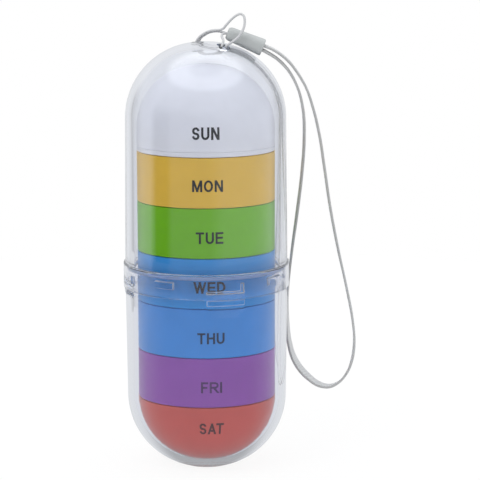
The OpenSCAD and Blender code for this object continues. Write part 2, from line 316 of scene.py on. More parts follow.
@dataclass(frozen=True)
class WovenTape(Finish):
    """Woven nylon tape: weft ribs over warp ends, with painted shade in the grooves and along the selvedges.

    The weave is drawn coarser than a real one, so that it shows.
    """

    # Painted shade in the weave's grooves, darker than the tape
    groove_shade: str = "9C9D9E"
    # Painted shade along the rounded selvedges, darker than the tape
    selvedge_shade: str = "B2B2B1"
    roughness: float = 0.7
    sheen: float = 0.2
    rib_mm: float = 0.85
    warp_mm: float = 1.25
    weave_depth_mm: float = 0.06
    weave_strength: float = 0.7
    width_mm: float = 5.0
    selvedge_mm: float = 0.3

    def even(self) -> dict[str, float | Colour]:
        """Give it the sheen of a fabric."""
        return {"Roughness": self.roughness, "Sheen Weight": self.sheen}

    def vary(self, tree: Tree, shader: Node) -> None:
        """Weave the tape on its own map: a wave along times a wave across gives its height and painted shade.

        Args:
            tree: The material's nodes.
            shader: Its shader.
        """
        place = add(tree, "ShaderNodeTexCoord").outputs["UV"]
        across, along, _ = add(tree, "ShaderNodeSeparateXYZ", {"Vector": place}).outputs
        waves = {0: self.wave(tree, along, self.rib_mm), 1: self.wave(tree, across, self.warp_mm)}
        weave = add(tree, "ShaderNodeMath", waves, operation="MULTIPLY").outputs[0]
        shade = {"Value": weave, "From Min": -1.0, "From Max": 1.0}
        shade = add(tree, "ShaderNodeMapRange", shade).outputs[0]
        # Painted shade: the colour darkens from the ribs down into the grooves
        stops = [(0.0, linear(self.groove_shade)), (1.0, linear(self.colour))]
        shaded_threads = add(tree, "ShaderNodeValToRGB", {"Fac": shade}, stops).outputs["Color"]
        # Painted shade along both edges of the tape, blended in over the last selvedge_mm
        half = self.width_mm * MM / 2
        side = add(tree, "ShaderNodeMath", {0: across, 1: half}, operation="SUBTRACT").outputs[0]
        side = add(tree, "ShaderNodeMath", {0: side}, operation="ABSOLUTE").outputs[0]
        edge = {"Value": side, "From Min": half - self.selvedge_mm * MM, "From Max": half}
        edge = add(tree, "ShaderNodeMapRange", edge).outputs[0]
        woven = {0: edge, 1: shaded_threads, 2: linear(self.selvedge_shade)}
        woven = add(tree, "ShaderNodeMixRGB", woven).outputs[0]
        tree.links.new(woven, shader.inputs["Base Color"])
        raised = {"Height": weave, "Distance": self.weave_depth_mm * MM, "Strength": self.weave_strength}
        raised = add(tree, "ShaderNodeBump", raised).outputs[0]
        tree.links.new(raised, shader.inputs["Normal"])

    @staticmethod
    def wave(tree: Tree, way: Socket, length_mm: float) -> Socket:
        """Sine wave of a given length.

        Args:
            tree: The material's nodes.
            way: Output socket of the distance, in metres.
            length_mm: Length of one wave.

        Returns:
            Output socket of the wave, from -1 to 1.
        """
        turns = {0: way, 1: 2 * math.pi * per_mm(length_mm)}
        turns = add(tree, "ShaderNodeMath", turns, operation="MULTIPLY").outputs[0]
        return add(tree, "ShaderNodeMath", {0: turns}, operation="SINE").outputs[0]


@dataclass(frozen=True)
class MattMoulding(Finish):
    """Moulded soft plastic: matt and pale, with an eroded grain.

    The grain is drawn coarser than a real one, which is too fine to show.
    """

    grain: Grain | None = Grain(size_mm=0.25, depth_mm=0.012, detail=3.0, strength=0.5)
    roughness: float = 0.55

    def even(self) -> dict[str, float | Colour]:
        """Make it matt."""
        return {"Roughness": self.roughness}


CLEAR = ClearStyrene("clear_polystyrene", "FAFBFF")
MATT_SLOPE = ClearStyrene("matt_polystyrene", "DCE8FF", matt=0.3)
WHITE = TrayPolypropylene("white_polypropylene", "EDEEF3")
INK = "0A0D1C"
SEAL = Silicone("pale_silicone", "D3E3FF")
STRING = TwistedNylon("twisted_nylon", "C2C2C3")
TAPE = WovenTape("woven_nylon_tape", "F0F0EF")
SLEEVE = MattMoulding("matt_moulded_sleeve", "B2B5B4")


# Shapes


def grid_faces(rows: int, cols: int, wrap_rows: bool, wrap_cols: bool) -> Array:
    """Number the quads of a grid of points.

    Args:
        rows: Rows of points.
        cols: Points in a row.
        wrap_rows: Whether the last row joins the first.
        wrap_cols: Whether a row's last point joins its first.

    Returns:
        One row of four point numbers for each quad.
    """
    i = np.arange(rows if wrap_rows else rows - 1)[:, None]
    j = np.arange(cols if wrap_cols else cols - 1)[None, :]
    down, right = (i + 1) % rows, (j + 1) % cols
    corners = (i * cols + j, i * cols + right, down * cols + right, down * cols + j)
    return np.stack(np.broadcast_arrays(*corners), axis=-1).reshape(-1, 4)


def fill_mesh(name: str, points: Array, faces: Array) -> Mesh:
    """Write points in millimetres and quads into a new mesh, whole arrays at a time.

    Args:
        name: Name of the mesh.
        points: Points in millimetres, any grid of three numbers.
        faces: Quads as point numbers.

    Returns:
        The mesh, in metres.
    """
    flat = points.reshape(-1, 3) * MM
    mesh = bpy.data.meshes.new(name)
    mesh.vertices.add(len(flat))
    mesh.vertices.foreach_set("co", flat.astype(np.float32).ravel())
    mesh.loops.add(faces.size)
    mesh.loops.foreach_set("vertex_index", faces.astype(np.int32).ravel())
    mesh.polygons.add(len(faces))
    mesh.polygons.foreach_set("loop_start", np.arange(0, faces.size, faces.shape[1], dtype=np.int32))
    mesh.update(calc_edges=True)
    return mesh


def travel(path: Array) -> Array:
    """Distance along a path at each of its points."""
    return np.concatenate([[0], np.cumsum(np.linalg.norm(np.diff(path, axis=0), axis=1))])


def close_mesh(mesh: Mesh) -> None:
    """Merge points that coincide, such as poles and steps, drop what collapses, and turn all faces outwards.

    Args:
        mesh: The mesh to close.
    """
    shape = bmesh.new()
    shape.from_mesh(mesh)
    bmesh.ops.remove_doubles(shape, verts=shape.verts, dist=MERGE)
    bmesh.ops.dissolve_degenerate(shape, edges=shape.edges, dist=MERGE)
    bmesh.ops.recalc_face_normals(shape, faces=shape.faces)
    shape.to_mesh(mesh)
    shape.free()


def on_slopes(mesh: Mesh) -> Array:
    """Tell which faces lie on moulded slopes, by the mean of the marks at their corners.

    Args:
        mesh: A mesh whose points are marked.

    Returns:
        1 for each face on a slope and 0 for any other.
    """
    marks = np.empty(len(mesh.vertices), np.float32)
    corners = np.empty(len(mesh.loops), np.int32)
    starts = np.empty(len(mesh.polygons), np.int32)
    mesh.attributes[SLOPE].data.foreach_get("value", marks)
    mesh.loops.foreach_get("vertex_index", corners)
    mesh.polygons.foreach_get("loop_start", starts)
    counts = np.diff(np.append(starts, len(corners)))
    return (np.add.reduceat(marks[corners], starts) / counts > SLOPE_FACE).astype(np.int32)


def show(mesh: Mesh, finish: Finish, slopes: Finish | None = None) -> Piece:
    """Shade a finished mesh, dress it and put it in the scene.

    Args:
        mesh: The finished mesh, with its place in its points.
        finish: What it is made of.
        slopes: Finish of its moulded slopes, if they have one of their own.

    Returns:
        The piece, at the origin.
    """
    mesh.shade_smooth()
    mesh.set_sharp_from_angle(angle=SHARP)
    mesh.materials.clear()
    mesh.materials.append(finish.material())
    if slopes:
        mesh.materials.append(slopes.material())
        mesh.polygons.foreach_set("material_index", on_slopes(mesh))
    piece = bpy.data.objects.new(mesh.name, mesh)
    bpy.context.scene.collection.objects.link(piece)
    return piece


def settle(piece: Piece, body: str, slot: str, *nodes: str) -> None:
    """Say which body carries a piece and which solids it stands for, and hide those solids.

    Args:
        piece: The piece.
        body: Body that it moves with.
        slot: Material slot of the record. Not used.
        nodes: Solids that it stands for.
    """
    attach(piece, body)
    if nodes:
        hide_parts(*nodes)
    log.info("%s on %s: %d faces", piece.name, body, len(piece.data.polygons))


def rounded(corners: list[Corner], steps: int = 6) -> Array:
    """Outline through corners, where each corner gives way to an arc that touches both of its sides.

    Each arc turns evenly about its centre, and a point beside each of its ends keeps the shading of the
    straight side flat.

    Args:
        corners: Radius, height and corner radius of each corner. The first and last stay sharp.
        steps: Points on each arc.

    Returns:
        Points of the outline.
    """
    spots, radii = np.array(corners, float)[:, :2], np.array(corners, float)[:, 2]
    sides = np.diff(spots, axis=0)
    lengths = np.linalg.norm(sides, axis=1)
    ways = sides / lengths[:, None]
    turns = np.arccos(np.clip((ways[:-1] * ways[1:]).sum(axis=1), -1, 1))
    trims = np.concatenate([[0], radii[1:-1] * np.tan(turns / 2), [0]])
    holds = HOLD * (lengths - trims[:-1] - trims[1:])
    parts = [spots[:1]]
    for i, turn in enumerate(turns, start=1):
        if radii[i] <= 0:
            parts.append(spots[i : i + 1])
            continue
        start, end = spots[i] - ways[i - 1] * trims[i], spots[i] + ways[i] * trims[i]
        inward = ways[i] - ways[i - 1]
        centre = spots[i] + inward / np.linalg.norm(inward) * radii[i] / math.cos(turn / 2)
        share = np.linspace(0, 1, steps)[:, None]
        mix = np.sin((1 - share) * turn) * (start - centre) + np.sin(share * turn) * (end - centre)
        before, after = min(radii[i], holds[i - 1]), min(radii[i], holds[i])
        parts.append((start - ways[i - 1] * before)[None])
        parts.append(centre + mix / math.sin(turn))
        parts.append((end + ways[i] * after)[None])
    parts.append(spots[-1:])
    return np.concatenate(parts)


def cut_lines(base: Array, spans: Array, soft: float) -> tuple[Array, Array]:
    """Grid lines that follow the moulded slope at both ends of every raised stretch.

    The height there follows an S: it leaves the wall softly, is steepest at the end itself and levels off.

    Args:
        base: Even grid lines, of which those too near to a slope are left out.
        spans: Low and high end of each raised stretch.
        soft: Half the width of a slope.

    Returns:
        The sorted lines, and for each line and span the share of its full height.
    """
    ends = spans.ravel()
    clear = np.abs(base[:, None] - ends).min(axis=1) > SLOPE_ROOM * soft
    slopes = (ends[:, None] + soft * np.array(SLOPE_LINES)).ravel()
    lines = np.sort(np.concatenate([base[clear], slopes]))
    after = (lines[:, None] - spans[:, 0]) / (2 * soft) + 0.5
    before = (spans[:, 1] - lines[:, None]) / (2 * soft) + 0.5
    share = np.clip(np.minimum(after, before), 0, 1)
    return lines, share**2 * (3 - 2 * share)


def turned(profile: Array, angles: Array, relief: Array | float = 0.0) -> Array:
    """Turn a profile about the tube's axis: each point goes round at its radius plus the relief there.

    Args:
        profile: Radius and height of each point, in order.
        angles: Angles from +X in radians.
        relief: Added radius, for each profile point and angle.

    Returns:
        Grid of points: profile points by angles.
    """
    radius = profile[:, :1] + relief
    x = radius * np.cos(angles)
    y = radius * np.sin(angles)
    z = np.broadcast_to(profile[:, 1:], x.shape)
    return np.stack([x, y, z], axis=-1)


def round_angles(count: int = AROUND) -> Array:
    """Even angles once round the tube."""
    return np.linspace(0, 2 * math.pi, count, endpoint=False)


def turned_mesh(
    name: str, profile: Array, angles: Array, relief: Array | float = 0.0, slope: Array | None = None
) -> Mesh:
    """Closed mesh of a profile that starts and ends on the axis, turned about it.

    Args:
        name: Name of the mesh.
        profile: Radius and height of each point, from the axis and back to it.
        angles: Angles from +X in radians.
        relief: Added radius, for each profile point and angle.
        slope: How far each point lies in the middle of a moulded slope, kept on the mesh for its finish.

    Returns:
        The mesh, closed at its poles.
    """
    points = turned(profile, angles, relief)
    mesh = fill_mesh(name, points, grid_faces(len(profile), len(angles), False, True))
    if slope is not None:
        kept = mesh.attributes.new(SLOPE, "FLOAT", "POINT")
        kept.data.foreach_set("value", slope.astype(np.float32).ravel())
    close_mesh(mesh)
    return mesh


@dataclass(frozen=True)
class Dome:
    """The family of round ends: a shoulder arc that runs on into a flatter crown.

    A dome of radius r has a shoulder of radius r - inset about a point inset from the axis, and a crown whose
    radius is larger by gain, about a point below on the axis, so that both share a tangent where they meet.
    """

    inset: float = 1.6
    gain: float = 10.6

    def drop(self) -> float:
        """Height of the shoulder's centre above the crown's centre."""
        return math.sqrt(self.gain**2 - self.inset**2)

    def rise(self, radius: float) -> float:
        """Height of the dome's top above the start of its shoulder."""
        return radius - self.inset + self.gain - self.drop()

    def outline(self, radius: float, steps: int = 56) -> Array:
        """Points from the foot of the shoulder up to the top on the axis.

        Args:
            radius: Radius at the foot.
            steps: Points on the shoulder. The crown has a third as many.

        Returns:
            Radius and height above the foot of each point.
        """
        meet = math.atan2(self.drop(), self.inset)
        low = np.linspace(0, meet, steps)
        high = np.linspace(meet, math.pi / 2, steps // 3)[1:]
        shoulder, crown = radius - self.inset, radius - self.inset + self.gain
        foot = np.stack([self.inset + shoulder * np.cos(low), shoulder * np.sin(low)], axis=-1)
        top = np.stack([crown * np.cos(high), crown * np.sin(high) - self.drop()], axis=-1)
        top[-1, 0] = 0.0
        return np.concatenate([foot, top])

    def radius_at(self, radius: float, height: Array) -> Array:
        """Radius of the shoulder at heights above or below its foot."""
        return self.inset + np.sqrt((radius - self.inset) ** 2 - height**2)


DOME = Dome()


# The days


@dataclass(frozen=True)
class Print:
    """A printed day name: turn in degrees, height on the tube, width, capitals' height and ink's cover."""

    turn: float
    height: float
    width: float
    capital: float
    cover: float = 1.0


class Day(Enum):
    """Days from the bottom of the stack up: label, tray's colour, tray's material slot and print."""

    SATURDAY = ("SAT", "C95D55", "red_tray", Print(3.7, 16.25, 7.5, 3.55, 0.85))
    FRIDAY = ("FRI", "9558AE", "purple_tray", Print(3.65, 29.3, 6.3, 3.45, 0.72))
    THURSDAY = ("THU", "4791DC", "light_blue_tray", Print(3.3, 44.72, 8.1, 3.45, 0.9))
    WEDNESDAY = ("WED", "3894DC", "blue_tray", Print(2.4, 60.5, 9.45, 3.6))
    TUESDAY = ("TUE", "75BD1A", "green_tray", Print(2.6, 75.86, 8.15, 3.6))
    MONDAY = ("MON", "EBBF48", "yellow_tray", Print(1.2, 91.78, 9.1, 3.55))
    SUNDAY = ("SUN", "EDEEF3", "white_tray", Print(0.0, 107.73, 8.05, 3.8))

    def __init__(self, label: str, colour: str, slot: str, printed: Print) -> None:
        """Keep the day's label and what its tray looks like."""
        self.label = label
        self.colour = colour
        self.slot = slot
        self.printed = printed

    @property
    def tray(self) -> str:
        """Name of the day's tray."""
        return self.name.lower() + "_tray"


# The lettering, drawn with a pen


@dataclass(frozen=True)
class Stroke:
    """A stroke of a letter: points of its middle line in a box of side 1, and how its ends are cut."""

    line: Array
    level: bool = False

    def sides(self, size: Array, pen: float) -> Array:
        """Both sides of the stroke, with ends that reach half the pen's width past the line.

        A stroke with level ends is widened sideways, any other at right angles to its way.

        Args:
            size: Width and height of the letter between the middle lines of its outer strokes.
            pen: Width of the stroke.

        Returns:
            Grid of points: places along the line by the two sides.
        """
        line = self.line * size
        way = np.gradient(line, axis=0)
        way = way / np.linalg.norm(way, axis=1, keepdims=True)
        reach = np.broadcast_to(pen / 2 / np.abs(way[:, 1:]) if self.level else pen / 2, (len(line), 1))
        across = reach * (np.array([1.0, 0.0]) if self.level else np.stack([way[:, 1], -way[:, 0]], axis=-1))
        line[0] -= reach[0] * way[0]
        line[-1] += reach[-1] * way[-1]
        return np.stack([line - across, line + across], axis=1)


# Points along a straight stroke, one with a bend and one that is bent all the way, and on an ellipse
STRAIGHT, BENT, ROUND, ARC = 8, 28, 40, 25


def drawn(*parts: list | Array, level: bool = False, count: int = BENT) -> Stroke:
    """Stroke through points, spaced evenly along the way.

    Args:
        parts: Points in order, one or more stretches.
        level: Whether its ends are cut level.
        count: Points along it.

    Returns:
        The stroke.
    """
    line = np.concatenate([np.atleast_2d(np.array(part, float)) for part in parts])
    along = travel(line)
    even = np.linspace(0, along[-1], count)
    return Stroke(np.stack([np.interp(even, along, column) for column in line.T], axis=-1), level)


def bar(x0: float, y0: float, x1: float, y1: float) -> Stroke:
    """Upright or level stroke between two points."""
    return drawn([x0, y0], [x1, y1], count=STRAIGHT)


def slant(x0: float, y0: float, x1: float, y1: float) -> Stroke:
    """Slanting stroke between two points, cut level at its ends."""
    return drawn([x0, y0], [x1, y1], level=True, count=STRAIGHT)


def bowl(x: float, y: float, wide: float, high: float, start: float, end: float) -> Array:
    """Points on an ellipse about x and y, from one angle in degrees to another."""
    turn = np.radians(np.linspace(start, end, ARC))
    return np.stack([x + wide * np.cos(turn), y + high * np.sin(turn)], axis=-1)


STEM, FAR_STEM = bar(0, 0, 0, 1), bar(1, 0, 1, 1)
R_BOWL = bowl(0.6, 0.745, 0.4, 0.255, 90, -90)
S_HEAD, S_FOOT = bowl(0.5, 0.745, 0.5, 0.255, 25, 240), bowl(0.5, 0.25, 0.5, 0.25, 60, -158)
# Width of each letter beside the others, and its strokes
LETTERS = {
    "A": (0.7, [slant(0, 0, 0.5, 1), slant(1, 0, 0.5, 1), bar(0.24, 0.28, 0.76, 0.28)]),
    "D": (0.68, [STEM, drawn([0, 1], bowl(0.42, 0.5, 0.58, 0.5, 90, -90), [0, 0])]),
    "E": (0.62, [STEM, bar(0, 0, 1, 0), bar(0, 0.53, 0.92, 0.53), bar(0, 1, 1, 1)]),
    "F": (0.5, [STEM, bar(0, 0.5, 0.85, 0.5), bar(0, 1, 1, 1)]),
    "H": (0.66, [STEM, FAR_STEM, bar(0, 0.53, 1, 0.53)]),
    "I": (0.0, [STEM]),
    "M": (0.85, [STEM, FAR_STEM, slant(0.07, 1, 0.5, 0), slant(0.93, 1, 0.5, 0)]),
    "N": (0.67, [STEM, FAR_STEM, slant(0.1, 1, 0.9, 0)]),
    "O": (0.75, [drawn(bowl(0.5, 0.5, 0.5, 0.5, 90, 450), count=ROUND)]),
    "R": (0.68, [STEM, drawn([0, 1], R_BOWL, [0, 0.49]), slant(0.5, 0.45, 0.97, 0)]),
    "S": (0.56, [drawn(S_HEAD, S_FOOT, count=ROUND)]),
    "T": (0.66, [bar(0, 1, 1, 1), bar(0.5, 0, 0.5, 1)]),
    "U": (0.65, [drawn([0, 1], bowl(0.5, 0.33, 0.5, 0.33, 180, 360), [1, 1])]),
    "W": (1.1, [slant(0, 1, 0.25, 0), slant(0.25, 0, 0.5, 1), slant(0.5, 1, 0.75, 0), slant(0.75, 0, 1, 1)]),
}
# Pen and gaps as shares of a capital's height, and the pairs of letters that stand closer
PEN_SHARE = 0.175
GAP_SHARE = 0.13
TUCKED = {"AT": 0.01}


def lettering(text: str, width: float, capital: float) -> list[Array]:
    """Draw a word about the origin, its letters widened or narrowed to fill the width.

    Args:
        text: The word, in capitals.
        width: Its width in millimetres.
        capital: Height of its capitals in millimetres.

    Returns:
        Both sides of each stroke, in millimetres.
    """
    pen = PEN_SHARE * capital
    shares = np.array([LETTERS[letter][0] for letter in text])
    gaps = capital * np.array([0] + [TUCKED.get(text[i : i + 2], GAP_SHARE) for i in range(len(text) - 1)])
    scale = (width - len(text) * pen - gaps.sum()) / shares.sum()
    starts = np.cumsum(gaps + shares * scale + pen) - shares * scale - (pen + width) / 2
    return [
        stroke.sides(np.array([share * scale, capital - pen]), pen) + [start, (pen - capital) / 2]
        for letter, share, start in zip(text, shares, starts)
        for stroke in LETTERS[letter][1]
    ]


# The stack of trays


@dataclass
class Stack:
    """The seven trays, the lid on the top one and the day names printed on them."""

    # Trays and the spigots below them
    wall: float = 1.3
    floor: float = 1.2
    cove: float = 2.0
    edge: float = 0.3
    seam_cove: float = 0.1
    spigot_h: float = 2.0
    spigot_wall: float = 1.2
    spigot_cove: float = 0.3
    spigot_edge: float = 0.2
    gap: float = 0.2
    # Round bottom of the lowest tray, flange and lip of the highest, and lid
    bottom_wall_h: float = 1.3
    seat_d: float = 12.0
    flange_h: float = 1.5
    lip_wall: float = 1.2
    lid_wall_h: float = 4.9
    # Shadow lines between trays, and print
    shadow_gap: float = 0.15
    ink_t: float = 0.03
    # Outside radius and lower seams, from the frame
    radius: float = field(init=False)
    seams: dict[Day, float] = field(init=False)

    def __post_init__(self) -> None:
        """Take the radius and the heights of the seams from the frame."""
        self.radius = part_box(Day.MONDAY.tray)[1].x / MM
        self.seams = {day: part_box(day.tray)[0].z / MM + self.spigot_h for day in list(Day)[1:]}

    @property
    def plug_r(self) -> float:
        """Radius of what plugs into a tray."""
        return self.radius - self.wall - self.gap

    def build(self) -> None:
        """Make the trays, the lid and the labels."""
        shapes = {Day.SATURDAY: self.bottom_profile, Day.SUNDAY: self.top_profile}
        for day in Day:
            profile = shapes.get(day, self.plain_profile)(day)
            finish = TrayPolypropylene(day.name.lower() + "_polypropylene", day.colour)
            tray = show(turned_mesh(day.name.lower() + "_cup", profile, round_angles()), finish)
            settle(tray, day.tray, day.slot, day.tray)
        lid = show(turned_mesh("white_dome", self.lid_profile(), round_angles()), WHITE)
        settle(lid, "dome_lid", Day.SUNDAY.slot, "dome_lid")
        for day in Day:
            name = day.label.lower() + "_print_ink"
            ink = PrintInk(name, INK, under=day.colour, cover=day.printed.cover)
            label = show(self.label_mesh(day), ink)
            settle(label, "dome_lid" if day is Day.SUNDAY else day.tray, day.slot)

    def spigot_corners(self, z: float) -> list[Corner]:
        """Corners from the axis round the spigot to the lower outside edge.

        Args:
            z: Height of the lower seam.

        Returns:
            Radius, height and corner radius of each corner.
        """
        inner = self.plug_r - self.spigot_wall
        return [
            (0, z, 0),
            (inner, z, self.spigot_cove),
            (inner, z - self.spigot_h, self.spigot_edge),
            (self.plug_r, z - self.spigot_h, self.edge),
            (self.plug_r, z, self.seam_cove),
            (self.radius, z, self.edge),
        ]

    def plain_profile(self, day: Day) -> Array:
        """Profile of a tray that plugs into the one below: spigot, outside wall, rim, inside wall and floor.

        Args:
            day: The tray's day.

        Returns:
            Points of the profile.
        """
        z, inside = self.seams[day], self.radius - self.wall
        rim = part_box(day.tray)[1].z / MM - self.shadow_gap
        return rounded(
            self.spigot_corners(z)
            + [
                (self.radius, rim, self.edge),
                (inside, rim, self.edge),
                (inside, z + self.floor, self.cove),
                (0, z + self.floor, 0),
            ]
        )

    def bottom_profile(self, day: Day) -> Array:
        """Profile of the round-bottomed tray: flat to sit on, outer bowl, rim and inner bowl.

        Args:
            day: The tray's day.

        Returns:
            Points of the profile.
        """
        low, high = (corner.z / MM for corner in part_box(day.tray))
        foot = high - self.bottom_wall_h
        outer = DOME.outline(self.radius) * [1, -1] + [0, foot]
        outer = outer[outer[:, 1] > low][::-1]
        inner = DOME.outline(self.radius - self.wall) * [1, -1] + [0, foot]
        seat = np.array([[0, low], [self.seat_d / 2, low]])
        rim = rounded(
            [
                (self.radius, foot, 0),
                (self.radius, high - self.shadow_gap, self.edge),
                (self.radius - self.wall, high - self.shadow_gap, self.edge),
                (self.radius - self.wall, foot, 0),
            ]
        )
        return np.concatenate([seat, outer, rim[1:-1], inner])

    def top_profile(self, day: Day) -> Array:
        """Profile of the top tray: spigot, flange under the lid, lip inside it and floor.

        Args:
            day: The tray's day.

        Returns:
            Points of the profile.
        """
        z = self.seams[day]
        flange, lip_top = z + self.flange_h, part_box(day.tray)[1].z / MM
        inside = self.plug_r - self.lip_wall
        return rounded(
            self.spigot_corners(z)
            + [
                (self.radius, flange, self.edge),
                (self.plug_r, flange, self.seam_cove),
                (self.plug_r, lip_top, self.edge),
                (inside, lip_top, self.edge),
                (inside, z + self.floor, self.cove),
                (0, z + self.floor, 0),
            ]
        )

    def lid_profile(self) -> Array:
        """Profile of the lid: outer dome, wall, lower edge and inner dome.

        Returns:
            Points of the profile.
        """
        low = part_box("dome_lid")[0].z / MM
        foot = low + self.lid_wall_h
        inside = self.radius - self.wall
        edge = rounded(
            [
                (self.radius, foot, 0),
                (self.radius, low, self.edge),
                (inside, low, self.edge),
                (inside, foot, 0),
            ]
        )
        outer = DOME.outline(self.radius)[::-1] + [0, foot]
        inner = DOME.outline(inside) + [0, foot]
        return np.concatenate([outer, edge[1:-1], inner])

    def label_mesh(self, day: Day) -> Mesh:
        """Day name as a thin print that follows the wall it is on.

        The flat letters' x becomes an angle round the tube, and their y a height on the wall.

        Args:
            day: The day.

        Returns:
            Mesh of the print.
        """
        points, faces, count = [], [], 0
        for sides in lettering(day.label, day.printed.width, day.printed.capital):
            rows = len(sides)
            ring = np.concatenate([sides, sides[:, ::-1]], axis=1)
            depth = np.broadcast_to(np.array([1, 1, -1, -1])[:, None] * self.ink_t, (rows, 4, 1))
            points.append(np.concatenate([ring, depth], axis=-1).reshape(-1, 3))
            ends = np.array([[0, 1, 2, 3], [4 * rows - 1, 4 * rows - 2, 4 * rows - 3, 4 * rows - 4]])
            faces.append(np.concatenate([grid_faces(rows, 4, False, True), ends]) + count)
            count += 4 * rows
        letters = self.on_wall(day, np.concatenate(points))
        mesh = fill_mesh("label_" + day.name.lower(), letters, np.concatenate(faces))
        close_mesh(mesh)
        return mesh

    def on_wall(self, day: Day, letters: Array) -> Array:
        """Bend flat letters onto a day's wall, which turns in past the foot of its dome.

        Args:
            day: The day whose wall it is.
            letters: Points across, up and out, in millimetres.

        Returns:
            Points on the wall, in millimetres.
        """
        height = day.printed.height + letters[:, 1]
        if day is Day.SATURDAY:
            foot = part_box(day.tray)[1].z / MM - self.bottom_wall_h
            past = np.minimum(height - foot, 0)
        elif day is Day.SUNDAY:
            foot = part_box("dome_lid")[0].z / MM + self.lid_wall_h
            past = np.maximum(height - foot, 0)
        else:
            past = np.zeros(len(letters))
        angle = math.radians(day.printed.turn) + letters[:, 0] / self.radius
        radius = DOME.radius_at(self.radius, past) + letters[:, 2]
        return np.stack([radius * np.sin(angle), -radius * np.cos(angle), height], axis=-1)


# The clear capsule


@dataclass(frozen=True)
class Box:
    """A raised box on a wall: its arcs round the tube, its low and high end, and how far it stands out."""

    arcs: Array
    low: float
    high: float
    depth: float


@dataclass(frozen=True)
class Wall:
    """A straight stretch of a turned profile that carries boxes."""

    start: tuple[float, float]
    end: tuple[float, float]
    boxes: tuple[Box, ...]

    def rows(self, soft: float) -> tuple[Array, Array]:
        """Profile points that follow the slopes of every box.

        Args:
            soft: Half the width of a slope.

        Returns:
            Radius and height of each point, and for each point and box the share of the box's depth.
        """
        (start_r, start_z), (end_r, end_z) = self.start, self.end
        spans = np.array([[box.low, box.high] for box in self.boxes])
        even = np.linspace(min(start_z, end_z), max(start_z, end_z), WALL_ROWS)
        heights, inside = cut_lines(even, spans, soft)
        radius = start_r + (heights - start_z) / (end_z - start_z) * (end_r - start_r)
        rows = np.stack([radius, heights], axis=-1)
        return (rows, inside) if end_z > start_z else (rows[::-1], inside[::-1])


